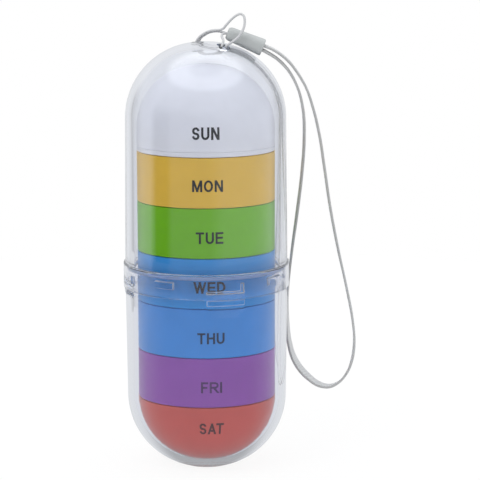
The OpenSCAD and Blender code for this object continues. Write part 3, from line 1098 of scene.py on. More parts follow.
@dataclass
class Capsule:
    """Both clear halves, their bayonet closure and the seal between them."""

    # Shells
    wall: float = 2.2
    bore_r: float = 22.8
    wall_start: float = 1.0
    rim_flare: float = 0.4
    rim_h: float = 0.06
    rim_edge: float = 0.05
    foot_d: float = 16.0
    seat_h: float = 2.2
    edge: float = 0.15
    # Neck of the lower half, and skirt of the upper half with its band
    neck_h: float = 6.0
    neck_wall: float = 1.1
    skirt_wall: float = 1.0
    roof_t: float = 0.6
    band_cove: float = 0.08
    band_edge: float = 0.4
    # Bayonet, the same at every station: ribs with stops, lugs and index pads, at degrees from the front
    stations: int = 4
    tooth_t: float = 0.8
    tooth_gap: float = 0.25
    tooth_soft: float = 0.18
    rib_at: float = 13.5
    rib_arc: float = 27.0
    rib_z: float = 1.8
    rib_h: float = 0.7
    stop_arc: float = 2.0
    stop_h: float = 2.3
    stop_inset: float = 0.3
    lug_at: float = -32.0
    lug_arc: float = 15.4
    lug_h: float = 2.2
    lug_lift: float = 0.3
    pad_arc: float = 26.5
    pad_h: float = 1.6
    pad_drop: float = 0.2
    pad_t: float = 0.3
    # Seal
    seal_h: float = 1.2
    seal_gap: float = 0.15
    seal_edge: float = 0.25
    seal_inner_edge: float = 0.1
    # String holes, and how many walls deep they are drilled
    hole_d: float = 3.8
    hole_spacing: float = 10.0
    hole_shift: float = 2.0
    hole_turn: float = 40.0
    drill_walls: float = 3.0
    # Heights of the joint and the top, from the frame
    joint_z: float = field(init=False)
    top: float = field(init=False)

    def __post_init__(self) -> None:
        """Take the joint's height and the top from the frame."""
        self.joint_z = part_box("upper_case")[0].z / MM
        self.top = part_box("upper_case")[1].z / MM

    @property
    def case_r(self) -> float:
        """Outside radius where the domes start."""
        return self.bore_r + self.wall

    @property
    def neck_r(self) -> float:
        """Outside radius of the neck."""
        return self.bore_r + self.neck_wall

    @property
    def skirt_r(self) -> float:
        """Inside radius of the skirt."""
        return self.neck_r + self.tooth_t + self.tooth_gap

    def build(self) -> None:
        """Make both halves and the seal."""
        lower = show(self.lower_mesh(), CLEAR, MATT_SLOPE)
        settle(lower, "lower_case", "clear_shell", "lower_case")
        upper = show(self.upper_mesh(), CLEAR, MATT_SLOPE)
        settle(upper, "upper_case", "clear_shell", "upper_case")
        seal = show(self.seal_mesh(), SEAL)
        settle(seal, "seal_ring", "seal", "seal_ring")

    def at_stations(self, middle: float, arc: float) -> Array:
        """Repeat an arc at every station round the tube.

        Args:
            middle: Middle of the first arc, in degrees from the front.
            arc: Its length in degrees.

        Returns:
            Start and end angle of each arc, in radians from +X.
        """
        step = 360 / self.stations
        middles = (middle - 90 + step * np.arange(self.stations)) % 360
        return np.radians(np.stack([middles - arc / 2, middles + arc / 2], axis=-1))

    def stepped(self, name: str, stretches: list["Array | Wall"]) -> Mesh:
        """Turn a profile whose straight walls carry raised boxes.

        The radius there is the wall's own plus a box's depth wherever its height span and its arc both hold.
        The boxes of one wall share one depth. A point's mark is four times its share of the depth times the
        rest of it, which is 1 halfway up a slope.

        Args:
            name: Name of the mesh.
            stretches: Stretches of the profile, in order: outlines and walls.

        Returns:
            The closed mesh.
        """
        boxes = [box for part in stretches if isinstance(part, Wall) for box in part.boxes]
        arcs = np.concatenate([box.arcs for box in boxes])
        angles, in_arc = cut_lines(round_angles(), arcs, self.tooth_soft / self.skirt_r)
        ends = np.cumsum([0] + [len(box.arcs) for box in boxes])
        within = [in_arc[:, a:b].max(axis=1) for a, b in zip(ends, ends[1:])]
        profile, relief, slope = [], [], []
        for part in stretches:
            rows, in_height, raised = part, np.zeros((0, 0)), ()
            if isinstance(part, Wall):
                (rows, in_height), raised = part.rows(self.tooth_soft), part.boxes
            share, depth = np.zeros((len(rows), len(angles))), 0.0
            for inside, box in zip(in_height.T, raised):
                share = np.maximum(share, inside[:, None] * within.pop(0)[None, :])
                depth = box.depth
            profile.append(rows)
            relief.append(depth * share)
            slope.append(4 * share * (1 - share))
        profile, relief, slope = (np.concatenate(grids) for grids in (profile, relief, slope))
        return turned_mesh(name, profile, angles, relief, slope)

    def lower_mesh(self) -> Mesh:
        """Lower half: foot, round bottom, wall with index pads, neck with lugs, bore, inner bowl and seat.

        Returns:
            The closed mesh.
        """
        foot_r = self.foot_d / 2
        crown = self.case_r - DOME.inset + DOME.gain
        pole = math.sqrt(crown**2 - foot_r**2) - crown
        dome_z = pole + DOME.rise(self.case_r)
        outer = DOME.outline(self.case_r) * [1, -1] + [0, dome_z]
        outer = outer[outer[:, 1] > 0][::-1]
        inner = DOME.outline(self.bore_r) * [1, -1] + [0, dome_z]
        inner = inner[inner[:, 1] > self.seat_h]
        rim_r, neck_top = self.case_r + self.rim_flare, self.joint_z + self.neck_h
        foot = np.array([[0, 0], [foot_r, 0]])
        seat = np.array([[0, self.seat_h]])
        pad_top = self.joint_z - self.pad_drop
        lug_low = self.joint_z + self.rib_z + self.rib_h + self.lug_lift
        lean = self.rim_flare / (self.joint_z - dome_z)
        wall_end = self.joint_z - self.rim_h
        pads = Box(self.at_stations(self.rib_at, self.pad_arc), pad_top - self.pad_h, pad_top, self.pad_t)
        wall = Wall(
            (self.case_r + lean * self.wall_start, dome_z + self.wall_start),
            (self.case_r + lean * (wall_end - dome_z), wall_end),
            (pads,),
        )
        shoulder = rounded(
            [
                (rim_r, wall_end, 0),
                (rim_r, self.joint_z, self.rim_edge),
                (self.neck_r, self.joint_z, 0),
            ]
        )[1:]
        lugs = Box(self.at_stations(self.lug_at, self.lug_arc), lug_low, lug_low + self.lug_h, self.tooth_t)
        neck = Wall((self.neck_r, self.joint_z), (self.neck_r, neck_top - 2 * self.edge), (lugs,))
        lip = rounded(
            [
                (self.neck_r, neck_top - 2 * self.edge, 0),
                (self.neck_r, neck_top, self.edge),
                (self.bore_r, neck_top, self.edge),
                (self.bore_r, dome_z, 0),
            ]
        )[1:-1]
        outside, inside = np.concatenate([foot, outer]), np.concatenate([lip, inner, seat])
        return self.stepped("lower_shell", [outside, wall, shoulder, neck, inside])

    def upper_mesh(self) -> Mesh:
        """Upper half: round top, wall, band, skirt with L-shaped ribs inside, ledge, bore and inner dome.

        Returns:
            The closed mesh, with the string holes.
        """
        dome_z = self.top - DOME.rise(self.case_r)
        rim_r, band_r = self.case_r + self.rim_flare, self.skirt_r + self.skirt_wall
        ledge = self.joint_z + self.neck_h + self.seal_h
        band_top = ledge + self.roof_t
        outer = DOME.outline(self.case_r)[::-1] + [0, dome_z]
        inner = DOME.outline(self.bore_r) + [0, dome_z]
        band = rounded(
            [
                (self.case_r, dome_z, 0),
                (rim_r, band_top, self.band_cove),
                (band_r, band_top, self.band_edge),
                (band_r, self.joint_z, self.edge),
                (self.skirt_r, self.joint_z, self.edge),
                (self.skirt_r, ledge, 0),
            ]
        )[1:-1]
        roof = rounded(
            [
                (self.skirt_r, self.joint_z, 0),
                (self.skirt_r, ledge, self.edge),
                (self.bore_r, ledge, self.edge),
                (self.bore_r, dome_z, 0),
            ]
        )[1:-1]
        rib_low = self.joint_z + self.rib_z
        rib_high = rib_low + self.rib_h
        stop_at = self.rib_at + (self.rib_arc - self.stop_arc) / 2 - self.stop_inset
        ribs = Box(self.at_stations(self.rib_at, self.rib_arc), rib_low, rib_high, -self.tooth_t)
        stops = Box(self.at_stations(stop_at, self.stop_arc), rib_low, rib_high + self.stop_h, -self.tooth_t)
        skirt = Wall(
            (self.skirt_r, self.joint_z + 2 * self.edge),
            (self.skirt_r, ledge - 2 * self.edge),
            (ribs, stops),
        )
        outside, inside = np.concatenate([outer, band]), np.concatenate([roof, inner])
        return self.drill(self.stepped("upper_shell", [outside, skirt, inside]))

    def drill(self, mesh: Mesh) -> Mesh:
        """Cut the two string holes through the top.

        Args:
            mesh: The whole upper half.

        Returns:
            A mesh with the holes.
        """
        radius, low, high = self.hole_d / 2, self.top - self.drill_walls * self.wall, self.top + self.wall
        post = np.array([[0, low], [radius, low], [radius, high], [0, high]])
        turn = -math.radians(self.hole_turn)
        drills = []
        for side in (-1, 1):
            reach = self.hole_shift + side * self.hole_spacing / 2
            place = np.array([reach * math.cos(turn), reach * math.sin(turn), 0])
            drills.append(turned(post, round_angles(FEW_AROUND)) + place)
        one = grid_faces(len(post), FEW_AROUND, False, True)
        both = np.concatenate([one, one + len(post) * FEW_AROUND])
        cutter_mesh = fill_mesh("drills", np.stack(drills), both)
        close_mesh(cutter_mesh)
        cutter = bpy.data.objects.new("drills", cutter_mesh)
        blank = bpy.data.objects.new("blank", mesh)
        for item in (cutter, blank):
            bpy.context.scene.collection.objects.link(item)
        cut = blank.modifiers.new("holes", "BOOLEAN")
        cut.object, cut.operation, cut.solver = cutter, "DIFFERENCE", "EXACT"
        bpy.context.view_layer.update()
        cut_blank = blank.evaluated_get(bpy.context.evaluated_depsgraph_get())
        drilled = bpy.data.meshes.new_from_object(cut_blank)
        name = mesh.name
        for item in (cutter, blank):
            bpy.data.objects.remove(item)
        bpy.data.meshes.remove(cutter_mesh)
        bpy.data.meshes.remove(mesh)
        drilled.name = name
        return drilled

    def seal_mesh(self) -> Mesh:
        """Flat ring with rounded edges, a closed profile turned about the axis.

        Returns:
            The closed mesh.
        """
        low, high = (corner.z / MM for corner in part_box("seal_ring"))
        outer, inner = self.skirt_r - self.seal_gap, self.bore_r + self.seal_gap
        profile = rounded(
            [
                (inner, (low + high) / 2, 0),
                (inner, low, self.seal_inner_edge),
                (outer, low, self.seal_edge),
                (outer, high, self.seal_edge),
                (inner, high, self.seal_inner_edge),
                (inner, (low + high) / 2, 0),
            ]
        )[:-1]
        points = turned(profile, round_angles())
        mesh = fill_mesh("seal_washer", points, grid_faces(len(profile), AROUND, True, True))
        close_mesh(mesh)
        return mesh


# The lanyard

# Places on the string's route, from the ferrule through both holes and back
STRING_ROUTE = [
    (7.5, -0.9, 135.65), (6, -1, 136.15), (5.25, -1.4, 135.9), (5.1, -2.1, 135.2), (5.45, -3.2, 134.4),
    (5.4, -4.2, 133.4), (4.95, -4.8, 132.3), (4.7, -4.6, 131.1), (4.05, -4.05, 130.25),
    (3.05, -3.2, 129.85), (1.2, -1.7, 129.8), (-0.8, 0, 129.9), (-1.85, 0.9, 130.5),
    (-2.4, 1.35, 131.9), (-2.75, 1.3, 133.4), (-2.2, 1.1, 134.4), (-1.3, 0.85, 135.3), (0, 0.55, 136.2),
    (1.4, 0.2, 136.8), (2.9, -0.2, 137.05), (4.5, -0.6, 137.2), (5.5, -0.9, 137.6), (6.2, -1.1, 138.4),
    (7.3, -1.5, 139.7), (8.5, -1.9, 140.9), (9.7, -2.3, 141.8), (10.9, -2.7, 142.2),
    (11.8, -3.2, 141.6), (12.1, -3.6, 140.4), (12, -4, 138.9), (11.5, -4.3, 137.4), (10.6, -4.6, 135.9),
    (9.4, -4.8, 134.6), (8.1, -4.8, 133.7), (7.05, -4.7, 133), (6.3, -4.5, 132.35), (6, -4.2, 131.1),
    (4.9, -3.4, 130.2), (3.7, -2.45, 129.85), (1.85, -0.9, 129.8), (-0.15, 0.75, 129.9),
    (-1.2, 1.7, 130.5), (-1.8, 2.3, 131.9), (-2, 2.5, 133.4), (-1.4, 2.4, 134.5), (-0.3, 2.1, 135.4),
    (1.2, 1.8, 136.2), (3, 1.4, 136.6), (4.8, 1.1, 136.5), (6, 1, 136.15), (7.5, 0.9, 135.65),
]
# Places on the strap's route, from the ferrule and back, and its roll there in degrees
STRAP_ROUTE = [
    (16.2, 0, 133.05, 0), (18, 0, 132.25, 0), (20.2, 0, 131.4, 0), (22.7, 0.5, 129.9, 0),
    (25.8, 1.5, 127.2, 0), (28.8, 2.5, 123.2, 0), (31.2, 3.5, 119, 0), (33.5, 5, 112.5, 0),
    (35.6, 7, 104, 0), (37.4, 9, 93, 0), (39.3, 10.5, 80.5, 0), (42, 11.7, 66.5, 0), (45, 12, 53, 2),
    (46.9, 12, 43, 3), (47.5, 12, 36, 3), (46.9, 12, 30.3, 4), (45.3, 12, 25.7, 9),
    (42.8, 12, 22.5, 12), (39.6, 12, 21.1, 5), (36.3, 12, 21.7, -4), (33, 12, 24, -10),
    (30, 12, 27.2, -13), (27.9, 12, 30.9, -13), (26.6, 12, 35.5, -12), (25.9, 12, 42, -10),
    (25.8, 12, 50, -7), (26.4, 12, 57, -4), (27.4, 11.5, 66.5, -2), (28.8, 10.5, 77.5, 0),
    (30.2, 9, 90, 0), (30.9, 7, 102, 0), (30.4, 5, 112, 0), (28.5, 3.3, 119.2, 0), (25.2, 2, 125, 0),
    (21.7, 1, 128.4, 0), (19.4, 0.4, 129.9, 0), (17.5, 0, 130.95, 0), (15.6, 0, 131.75, 0),
]


def smooth_route(route: Array, spacing: float) -> Array:
    """Carry a smooth curve through a route's points: a cubic between each pair, with the slopes of both ends.

    Args:
        route: Points, with any further columns that vary along the route.
        spacing: Distance between the new points.

    Returns:
        Close points along the curve.
    """
    chord = travel(route[:, :3])
    slope = np.gradient(route, chord, axis=0)
    at = np.linspace(0, chord[-1], int(chord[-1] / spacing) + 1)
    cell = np.clip(np.searchsorted(chord, at, side="right") - 1, 0, len(chord) - 2)
    step = np.diff(chord)[cell][:, None]
    t = (at - chord[cell])[:, None] / step
    start, end = route[cell], route[cell + 1]
    return (
        (1 + 2 * t) * (1 - t) ** 2 * start
        + t * (1 - t) ** 2 * step * slope[cell]
        + t**2 * (3 - 2 * t) * end
        + t**2 * (t - 1) * step * slope[cell + 1]
    )


def swept(path: Array, section: Array, roll: Array | float = 0.0) -> Array:
    """Carry a section along a path: its first axis stays square to +Y, its second as near to +Y as it can.

    Args:
        path: Points of the path.
        section: Points of the section, the same for all rings or one set for each.
        roll: Turn of the section at each path point, in radians.

    Returns:
        Grid of points: path points by section points.
    """
    along = np.gradient(path, axis=0)
    along /= np.linalg.norm(along, axis=1, keepdims=True)
    first = np.cross([0.0, 1.0, 0.0], along)
    first /= np.linalg.norm(first, axis=1, keepdims=True)
    second = np.cross(along, first)
    cos, sin = (np.broadcast_to(part, len(path))[:, None] for part in (np.cos(roll), np.sin(roll)))
    section = np.broadcast_to(section, (len(path),) + section.shape[-2:])
    a, b = section[..., 0], section[..., 1]
    across, up = a * cos - b * sin, a * sin + b * cos
    return path[:, None] + across[..., None] * first[:, None] + up[..., None] * second[:, None]


def tube_mesh(name: str, points: Array, across: Array, along: Array) -> Mesh:
    """Closed mesh of rings, with flat ends and a map in metres.

    Args:
        name: Name of the mesh.
        points: Grid of points: rings by points of a ring.
        across: Distance round the section at each ring point, in millimetres, for the map.
        along: Distance along the path at each ring, in millimetres, for the map.

    Returns:
        The mesh, with its map.
    """
    rings, count = points.shape[:2]
    walls = grid_faces(rings, count, False, True)
    mesh = fill_mesh(name, points, walls)
    i, j = np.divmod(np.arange(len(walls)), count)
    right = np.append(across, across[-1] + (across[1] - across[0]))
    u = np.stack([right[j], right[j + 1], right[j + 1], right[j]], axis=-1)
    v = np.stack([along[i], along[i], along[i + 1], along[i + 1]], axis=-1)
    layer = mesh.uv_layers.new(name="along")
    layer.data.foreach_set("uv", (np.stack([u, v], axis=-1) * MM).astype(np.float32).ravel())
    shape = bmesh.new()
    shape.from_mesh(mesh)
    bmesh.ops.holes_fill(shape, edges=[e for e in shape.edges if e.is_boundary], sides=0)
    bmesh.ops.recalc_face_normals(shape, faces=shape.faces)
    shape.to_mesh(mesh)
    shape.free()
    return mesh


@dataclass
class Lanyard:
    """The string through the top, the ferrule and the woven strap."""

    # String, with the length of one turn of its strands
    string_d: float = 0.8
    string_step: float = 0.25
    string_sides: int = 24
    strands: int = 3
    strand_depth: float = 0.06
    lay: float = 2.2
    # Strap
    strap_w: float = 5.0
    strap_t: float = 0.8
    strap_edge: float = 0.3
    strap_step: float = 0.5
    # Ferrule, with its width and height at the string's end and at the strap's, and its tilt in degrees
    ferrule_at: tuple[float, float, float] = (6.2, 0.0, 136.45)
    ferrule_tilt: float = 22.7
    ferrule_l: float = 12.5
    ferrule_w0: float = 4.7
    ferrule_w1: float = 6.6
    ferrule_h0: float = 4.1
    ferrule_h1: float = 5.3
    ferrule_r: float = 1.9
    ferrule_edge: float = 0.35
    ferrule_square: float = 3.2
    ferrule_sides: int = 80
    end_rings: int = 12
    body_rings: int = 15
    # Its pockets, the strap's by depth, width and height
    cord_pocket_d: float = 2.9
    cord_pocket_l: float = 1.0
    cord_pocket_square: float = 2.0
    strap_pocket: tuple[float, float, float] = (1.6, 5.4, 2.6)
    strap_pocket_square: float = 9.0

    def build(self) -> None:
        """Make the ferrule, the string and the strap."""
        ferrule = show(self.ferrule_mesh(), SLEEVE)
        settle(ferrule, "upper_case", "ferrule", "ferrule")
        path = smooth_route(np.array(STRING_ROUTE, float), self.string_step)
        string = show(self.string_mesh(path), STRING)
        settle(string, "upper_case", "string", "loop_cord")
        self.declare(string, path, self.string_d, "limp", [])
        route = smooth_route(np.array(STRAP_ROUTE, float), self.strap_step)
        strap = show(self.strap_mesh(route), TAPE)
        settle(strap, "upper_case", "strap", "wrist_strap")
        self.declare(strap, route[:, :3], self.strap_w, "medium", [ferrule])

    @staticmethod
    def declare(piece: Piece, path: Array, width: float, stiffness: str, on_it: list[Piece]) -> None:
        """Take a cord that starts and ends in the ferrule, and do nothing with it.

        Args:
            piece: The cord. Not used.
            path: Its centreline in millimetres. Not used.
            width: Its diameter, or its width where it is flat, in millimetres. Not used.
            stiffness: How it bends. Not used.
            on_it: Pieces that go with it. Not used.
        """

    def string_mesh(self, path: Array) -> Mesh:
        """Round string of twisted strands: the radius dips between strands, and the dips turn with the lay.

        Args:
            path: Its centreline in millimetres.

        Returns:
            The closed mesh.
        """
        around, along = round_angles(self.string_sides), travel(path)
        twist = 2 * math.pi * along / self.lay
        swell = np.abs(np.sin(self.strands / 2 * (around[None, :] - twist[:, None])))
        radius = self.string_d / 2 - self.strand_depth * (1 - swell)
        section = np.stack([radius * np.cos(around), radius * np.sin(around)], axis=-1)
        across = around * self.string_d / 2
        return tube_mesh("string_loop", swept(path, section), across, along)

    def strap_mesh(self, route: Array) -> Mesh:
        """Flat tape with rounded selvedges, carried along the strap's route with its roll.

        Args:
            route: Its centreline in millimetres, and its roll in degrees.

        Returns:
            The closed mesh.
        """
        half_t, half_w = self.strap_t / 2, self.strap_w / 2
        outline = rounded(
            [
                (half_t, 0, 0),
                (half_t, half_w, self.strap_edge),
                (-half_t, half_w, self.strap_edge),
                (-half_t, -half_w, self.strap_edge),
                (half_t, -half_w, self.strap_edge),
                (half_t, 0, 0),
            ]
        )[:-1]
        path, roll = route[:, :3], np.radians(route[:, 3])
        return tube_mesh("strap_loop", swept(path, outline, roll), outline[:, 1] + half_w, travel(path))

    def ferrule_rings(self) -> Array:
        """Rings of the ferrule from the string's pocket over the outside into the strap's pocket.

        Both ends of the outside are quarter arcs, and between them it widens evenly.

        Returns:
            Place along the axis, half width, half height and squareness of each ring.
        """
        ease = np.linspace(0, math.pi / 2, self.end_rings)
        nose, mouth = self.ferrule_r, self.ferrule_edge
        at = [nose * (1 - np.cos(ease)), np.linspace(nose, self.ferrule_l - mouth, self.body_rings + 1)[1:]]
        inward = [nose * (1 - np.sin(ease)), np.zeros(self.body_rings)]
        at.append(self.ferrule_l - mouth * (1 - np.sin(ease[1:])))
        inward.append(mouth * (1 - np.cos(ease[1:])))
        at, inward = np.concatenate(at), np.concatenate(inward)
        share = at / self.ferrule_l
        half_w = (self.ferrule_w0 + share * (self.ferrule_w1 - self.ferrule_w0)) / 2 - inward
        half_h = (self.ferrule_h0 + share * (self.ferrule_h1 - self.ferrule_h0)) / 2 - inward
        outside = np.stack([at, half_w, half_h, np.full(len(at), self.ferrule_square)], axis=-1)
        bore = self.cord_pocket_d / 2
        outside = outside[half_h > bore]
        deep, wide, high = self.strap_pocket
        hole = [bore, bore, self.cord_pocket_square]
        slot = [wide / 2, high / 2, self.strap_pocket_square]
        into = [[self.cord_pocket_l] + hole, [outside[0, 0]] + hole]
        out = [[self.ferrule_l] + slot, [self.ferrule_l - deep] + slot]
        return np.concatenate([into, outside, out])

    def ferrule_mesh(self) -> Mesh:
        """Tapered sleeve: each ring is a rounded box, cos and sin raised to two over the ring's squareness.

        Returns:
            The closed mesh.
        """
        side = round_angles(self.ferrule_sides)
        at, half_w, half_h, square = self.ferrule_rings().T[..., None]
        cos, sin = np.cos(side), np.sin(side)
        across = half_w * np.sign(cos) * np.abs(cos) ** (2 / square)
        up = half_h * np.sign(sin) * np.abs(sin) ** (2 / square)
        rings = np.stack([np.broadcast_to(at, across.shape), across, up], axis=-1)
        tilt = math.radians(self.ferrule_tilt)
        level, rise = math.cos(tilt), math.sin(tilt)
        turn = np.array([[level, 0, rise], [0, 1, 0], [-rise, 0, level]])
        points = rings @ turn.T + np.array(self.ferrule_at)
        return tube_mesh("ferrule_sleeve", points, side, at[:, 0])


# The studio

PLAIN_WHITE = (1.0, 1.0, 1.0, 1.0)


@dataclass
class Studio:
    """Pale floor, soft light and the camera.

    The panels and the floor's levels are degrees left of the front, each with its level of light. The ceiling
    and the daylight are heights of a direction, from -1 straight down to 1 straight up, each with its level.
    """

    # Camera, turned by degrees down, to the right and about its own axis
    camera_place: tuple[float, float, float] = (0.0, -672.4, 191.1)
    camera_down: float = 10.10
    camera_right: float = 0.90
    camera_roll: float = -0.12
    camera_lens: float = 163.4
    sensor: float = 36.0
    clip: tuple[float, float] = (10.0, 100_000.0)
    # Floor
    floor_r: float = 360.0
    paper: str = "F2F2F2"
    floor_glow: float = 1.0
    floor_clean: float = 0.92
    # Key lamp, in watts
    key_place: tuple[float, float, float] = (-500.0, -600.0, 900.0)
    key_aim: tuple[float, float, float] = (0.0, 0.0, 70.0)
    key_d: float = 600.0
    key_w: float = 3.0
    # Light round about, and the share that each clear surface on a ray's way adds to it
    cool: tuple[float, float, float] = (0.965, 0.985, 1.01)
    wall_gain: float = 0.09
    wall_gain_to: float = 14.0
    panels: Levels = (
        (-180, 0.8), (-146, 0.8), (-138, 0.45), (-118, 0.45), (-108, 1.0), (-70, 0.8), (-25, 0.75), (-5, 0.4),
        (52, 0.4), (58, 0.0), (80, 0.0), (86, 1.0), (108, 1.0), (118, 0.5), (138, 0.5), (146, 0.8),
        (180, 0.8),
    )
    floor_levels: Levels = (
        (-180, 0.8), (-120, 0.75), (-100, 0.7), (-60, 0.42), (60, 0.42), (100, 0.7), (120, 0.75), (180, 0.8),
    )
    ceiling: Levels = (
        (0.1, 0.9), (0.5, 0.8), (0.72, 0.85), (0.8, 1.9), (0.93, 1.9), (0.985, 1.1),
    )
    ceiling_from: tuple[float, float] = (0.1, 0.35)
    daylight: Levels = ((-0.05, 0.68), (0.1, 0.68), (0.6, 1.15), (1.0, 1.5))
    bounces: int = 32

    def build(self) -> None:
        """Set the view, the floor, the lamps, the world and the camera."""
        scene = bpy.context.scene
        scene.view_settings.view_transform = "Standard"
        for kind in ("max", "glossy", "transmission"):
            setattr(scene.cycles, kind + "_bounces", self.bounces)
        self.build_floor()
        self.build_world()
        self.build_lamps()
        self.build_camera()

    def build_floor(self) -> None:
        """Lay a round white floor that keeps a faint shadow."""
        profile = np.array([[0.0, 0.0], [self.floor_r, 0.0]])
        mesh = fill_mesh(
            "floor", turned(profile, round_angles(FEW_AROUND)), grid_faces(2, FEW_AROUND, False, True)
        )
        close_mesh(mesh)
        made = bpy.data.materials.new("white_floor")
        made.use_nodes = True
        tree = made.node_tree
        tree.nodes.clear()
        rays = add(tree, "ShaderNodeLightPath")
        place = add(tree, "ShaderNodeTexCoord").outputs["Object"]
        paper = add(tree, "ShaderNodeBsdfDiffuse", {"Color": linear(self.paper)}).outputs[0]
        glow = {"Color": PLAIN_WHITE, "Strength": self.floor_glow}
        glow = add(tree, "ShaderNodeEmission", glow).outputs[0]
        image = {"Color": self.round_about(tree, place, self.floor_levels)}
        image = add(tree, "ShaderNodeEmission", image).outputs[0]
        clean = add(tree, "ShaderNodeMixShader", {0: self.floor_clean, 1: paper, 2: glow}).outputs[0]
        gain = add(tree, "ShaderNodeEmission", {"Strength": self.gain(tree, rays)}).outputs[0]
        lit = add(tree, "ShaderNodeAddShader", {0: paper, 1: gain}).outputs[0]
        shown = self.by_ray(tree, rays, lit, image, clean)
        add(tree, "ShaderNodeOutputMaterial", {"Surface": shown})
        mesh.materials.append(made)
        floor = bpy.data.objects.new("floor", mesh)
        bpy.context.scene.collection.objects.link(floor)

    def build_world(self) -> None:
        """White behind for the eye, light panels round about for reflections, and soft light from above."""
        world = bpy.data.worlds.new("studio")
        bpy.context.scene.world = world
        world.use_nodes = True
        tree = world.node_tree
        tree.nodes.clear()
        rays = add(tree, "ShaderNodeLightPath")
        way = add(tree, "ShaderNodeTexCoord").outputs["Generated"]
        up = add(tree, "ShaderNodeSeparateXYZ", {"Vector": way}).outputs["Z"]
        low, high = self.ceiling_from
        lift = {"Value": up, "From Min": low, "From Max": high}
        lift = add(tree, "ShaderNodeMapRange", lift).outputs[0]
        panels = {"Color": self.round_about(tree, way, self.panels)}
        panels = add(tree, "ShaderNodeBackground", panels).outputs[0]
        above = add(tree, "ShaderNodeBackground", {"Color": self.overhead(tree, up, self.ceiling)}).outputs[0]
        mirror = add(tree, "ShaderNodeMixShader", {0: lift, 1: panels, 2: above}).outputs[0]
        level = add(tree, "ShaderNodeMath", {0: self.gain(tree, rays), 1: 1.0}, operation="ADD").outputs[0]
        soft = {"Color": self.overhead(tree, up, self.daylight), "Strength": level}
        soft = add(tree, "ShaderNodeBackground", soft).outputs[0]
        white = add(tree, "ShaderNodeBackground", {"Color": PLAIN_WHITE}).outputs[0]
        shown = self.by_ray(tree, rays, soft, mirror, white)
        add(tree, "ShaderNodeOutputWorld", {"Surface": shown})

    def by_ray(self, tree: Tree, rays: Node, light: Socket, mirror: Socket, plain: Socket) -> Socket:
        """Choose between shaders by what a ray is for.

        Args:
            tree: Node tree.
            rays: Its light path node.
            light: Shader that gives light.
            mirror: Shader that shows in reflections and through clear walls.
            plain: Shader that the eye sees plainly.

        Returns:
            Output socket of the chosen shader.
        """
        seen = {0: rays.outputs["Is Camera Ray"], 1: mirror, 2: plain}
        seen = add(tree, "ShaderNodeMixShader", seen).outputs[0]
        return add(tree, "ShaderNodeMixShader", {0: self.looked_at(tree, rays), 1: light, 2: seen}).outputs[0]

    @staticmethod
    def looked_at(tree: Tree, rays: Node) -> Socket:
        """Tell what the eye sees, plainly, mirrored or through a clear wall, from what only gives light.

        A ray that has left a matt surface has a diffuse depth of 1 or more and only gathers light.

        Args:
            tree: Node tree.
            rays: Its light path node.

        Returns:
            Output socket that is 1 for what is seen.
        """
        seen = rays.outputs["Is Camera Ray"]
        for kind in ("Is Glossy Ray", "Is Transmission Ray"):
            either = {0: seen, 1: rays.outputs[kind]}
            seen = add(tree, "ShaderNodeMath", either, operation="MAXIMUM").outputs[0]
        direct = {0: rays.outputs["Diffuse Depth"], 1: 0.5}
        direct = add(tree, "ShaderNodeMath", direct, operation="LESS_THAN").outputs[0]
        return add(tree, "ShaderNodeMath", {0: seen, 1: direct}, operation="MULTIPLY").outputs[0]

    def gain(self, tree: Tree, rays: Node) -> Socket:
        """Extra light for what lies behind clear walls, which a lamp's own rays do not reach.

        Args:
            tree: Node tree.
            rays: Its light path node.

        Returns:
            Output socket of the extra share, which grows with each clear surface on the way up to a limit.
        """
        walls = {0: rays.outputs["Transmission Depth"], 1: self.wall_gain_to}
        walls = add(tree, "ShaderNodeMath", walls, operation="MINIMUM").outputs[0]
        return add(tree, "ShaderNodeMath", {0: walls, 1: self.wall_gain}, operation="MULTIPLY").outputs[0]

    def round_about(self, tree: Tree, way: Socket, stops: Levels) -> Socket:
        """Light by the direction round the tube, from its back over its right, front and left to its back.

        Args:
            tree: Node tree.
            way: Direction, or place round the tube.
            stops: Degrees left of the front and the level there, in order.

        Returns:
            Output socket of the colour.
        """
        right, back, _ = add(tree, "ShaderNodeSeparateXYZ", {"Vector": way}).outputs
        left = add(tree, "ShaderNodeMath", {0: right, 1: -1.0}, operation="MULTIPLY").outputs[0]
        front = add(tree, "ShaderNodeMath", {0: back, 1: -1.0}, operation="MULTIPLY").outputs[0]
        angle = add(tree, "ShaderNodeMath", {0: left, 1: front}, operation="ARCTAN2").outputs[0]
        share = {"Value": angle, "From Min": -math.pi, "From Max": math.pi}
        share = add(tree, "ShaderNodeMapRange", share).outputs[0]
        colours = [(0.5 + turn / 360, self.light(level)) for turn, level in stops]
        return add(tree, "ShaderNodeValToRGB", {"Fac": share}, colours).outputs["Color"]

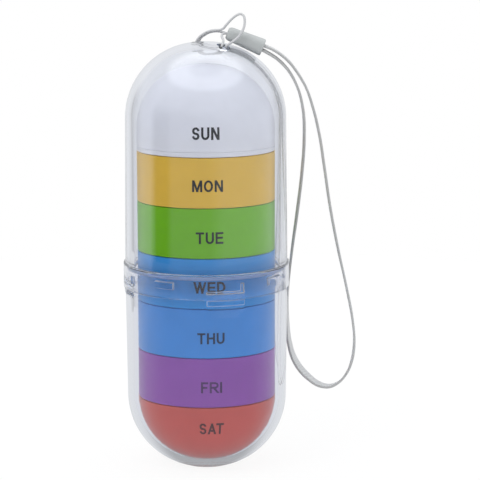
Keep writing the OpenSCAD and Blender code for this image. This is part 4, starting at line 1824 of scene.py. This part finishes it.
    def overhead(self, tree: Tree, up: Socket, stops: Levels) -> Socket:
        """Light by the height of the direction.

        Args:
            tree: Node tree.
            up: Height of the direction, from -1 to 1.
            stops: Heights and the level at each, in order.

        Returns:
            Output socket of the colour.
        """
        share = {"Value": up, "From Min": -1.0, "From Max": 1.0}
        share = add(tree, "ShaderNodeMapRange", share).outputs[0]
        colours = [(0.5 + height / 2, self.light(level)) for height, level in stops]
        return add(tree, "ShaderNodeValToRGB", {"Fac": share}, colours).outputs["Color"]

    def light(self, level: float) -> Colour:
        """Colour of the studio's cool light at a level."""
        return tuple(level * c for c in self.cool) + (1.0,)

    def build_lamps(self) -> None:
        """Hang a large soft box above on the left, which stays out of the reflections."""
        lamp = bpy.data.lights.new("key", "AREA")
        lamp.shape, lamp.size, lamp.energy = "DISK", self.key_d * MM, self.key_w
        hung = bpy.data.objects.new("key", lamp)
        bpy.context.scene.collection.objects.link(hung)
        hung.visible_glossy = hung.visible_transmission = False
        aim = Vector(self.key_aim) - Vector(self.key_place)
        turn = aim.to_track_quat("-Z", "Y").to_matrix().to_4x4()
        hung.matrix_world = Matrix.Translation(Vector(self.key_place) * MM) @ turn

    def build_camera(self) -> None:
        """Stand the camera where the picture was taken from."""
        lens = bpy.data.cameras.new("camera")
        lens.lens, lens.sensor_width = self.camera_lens, self.sensor
        lens.clip_start, lens.clip_end = (distance * MM for distance in self.clip)
        camera = bpy.data.objects.new("camera", lens)
        bpy.context.scene.collection.objects.link(camera)
        aim = Matrix.Rotation(-math.radians(self.camera_right), 4, "Z")
        aim = aim @ Matrix.Rotation(math.radians(90 - self.camera_down), 4, "X")
        aim = aim @ Matrix.Rotation(math.radians(self.camera_roll), 4, "Z")
        camera.matrix_world = Matrix.Translation(Vector(self.camera_place) * MM) @ aim
        bpy.context.scene.camera = camera


def main() -> None:
    """Build the studio and the tube, piece by piece."""
    logging.basicConfig(level=logging.INFO, format="%(name)s: %(message)s")
    Studio().build()
    Lanyard().build()
    Stack().build()
    Capsule().build()


if __name__ == "__main__":
    main()
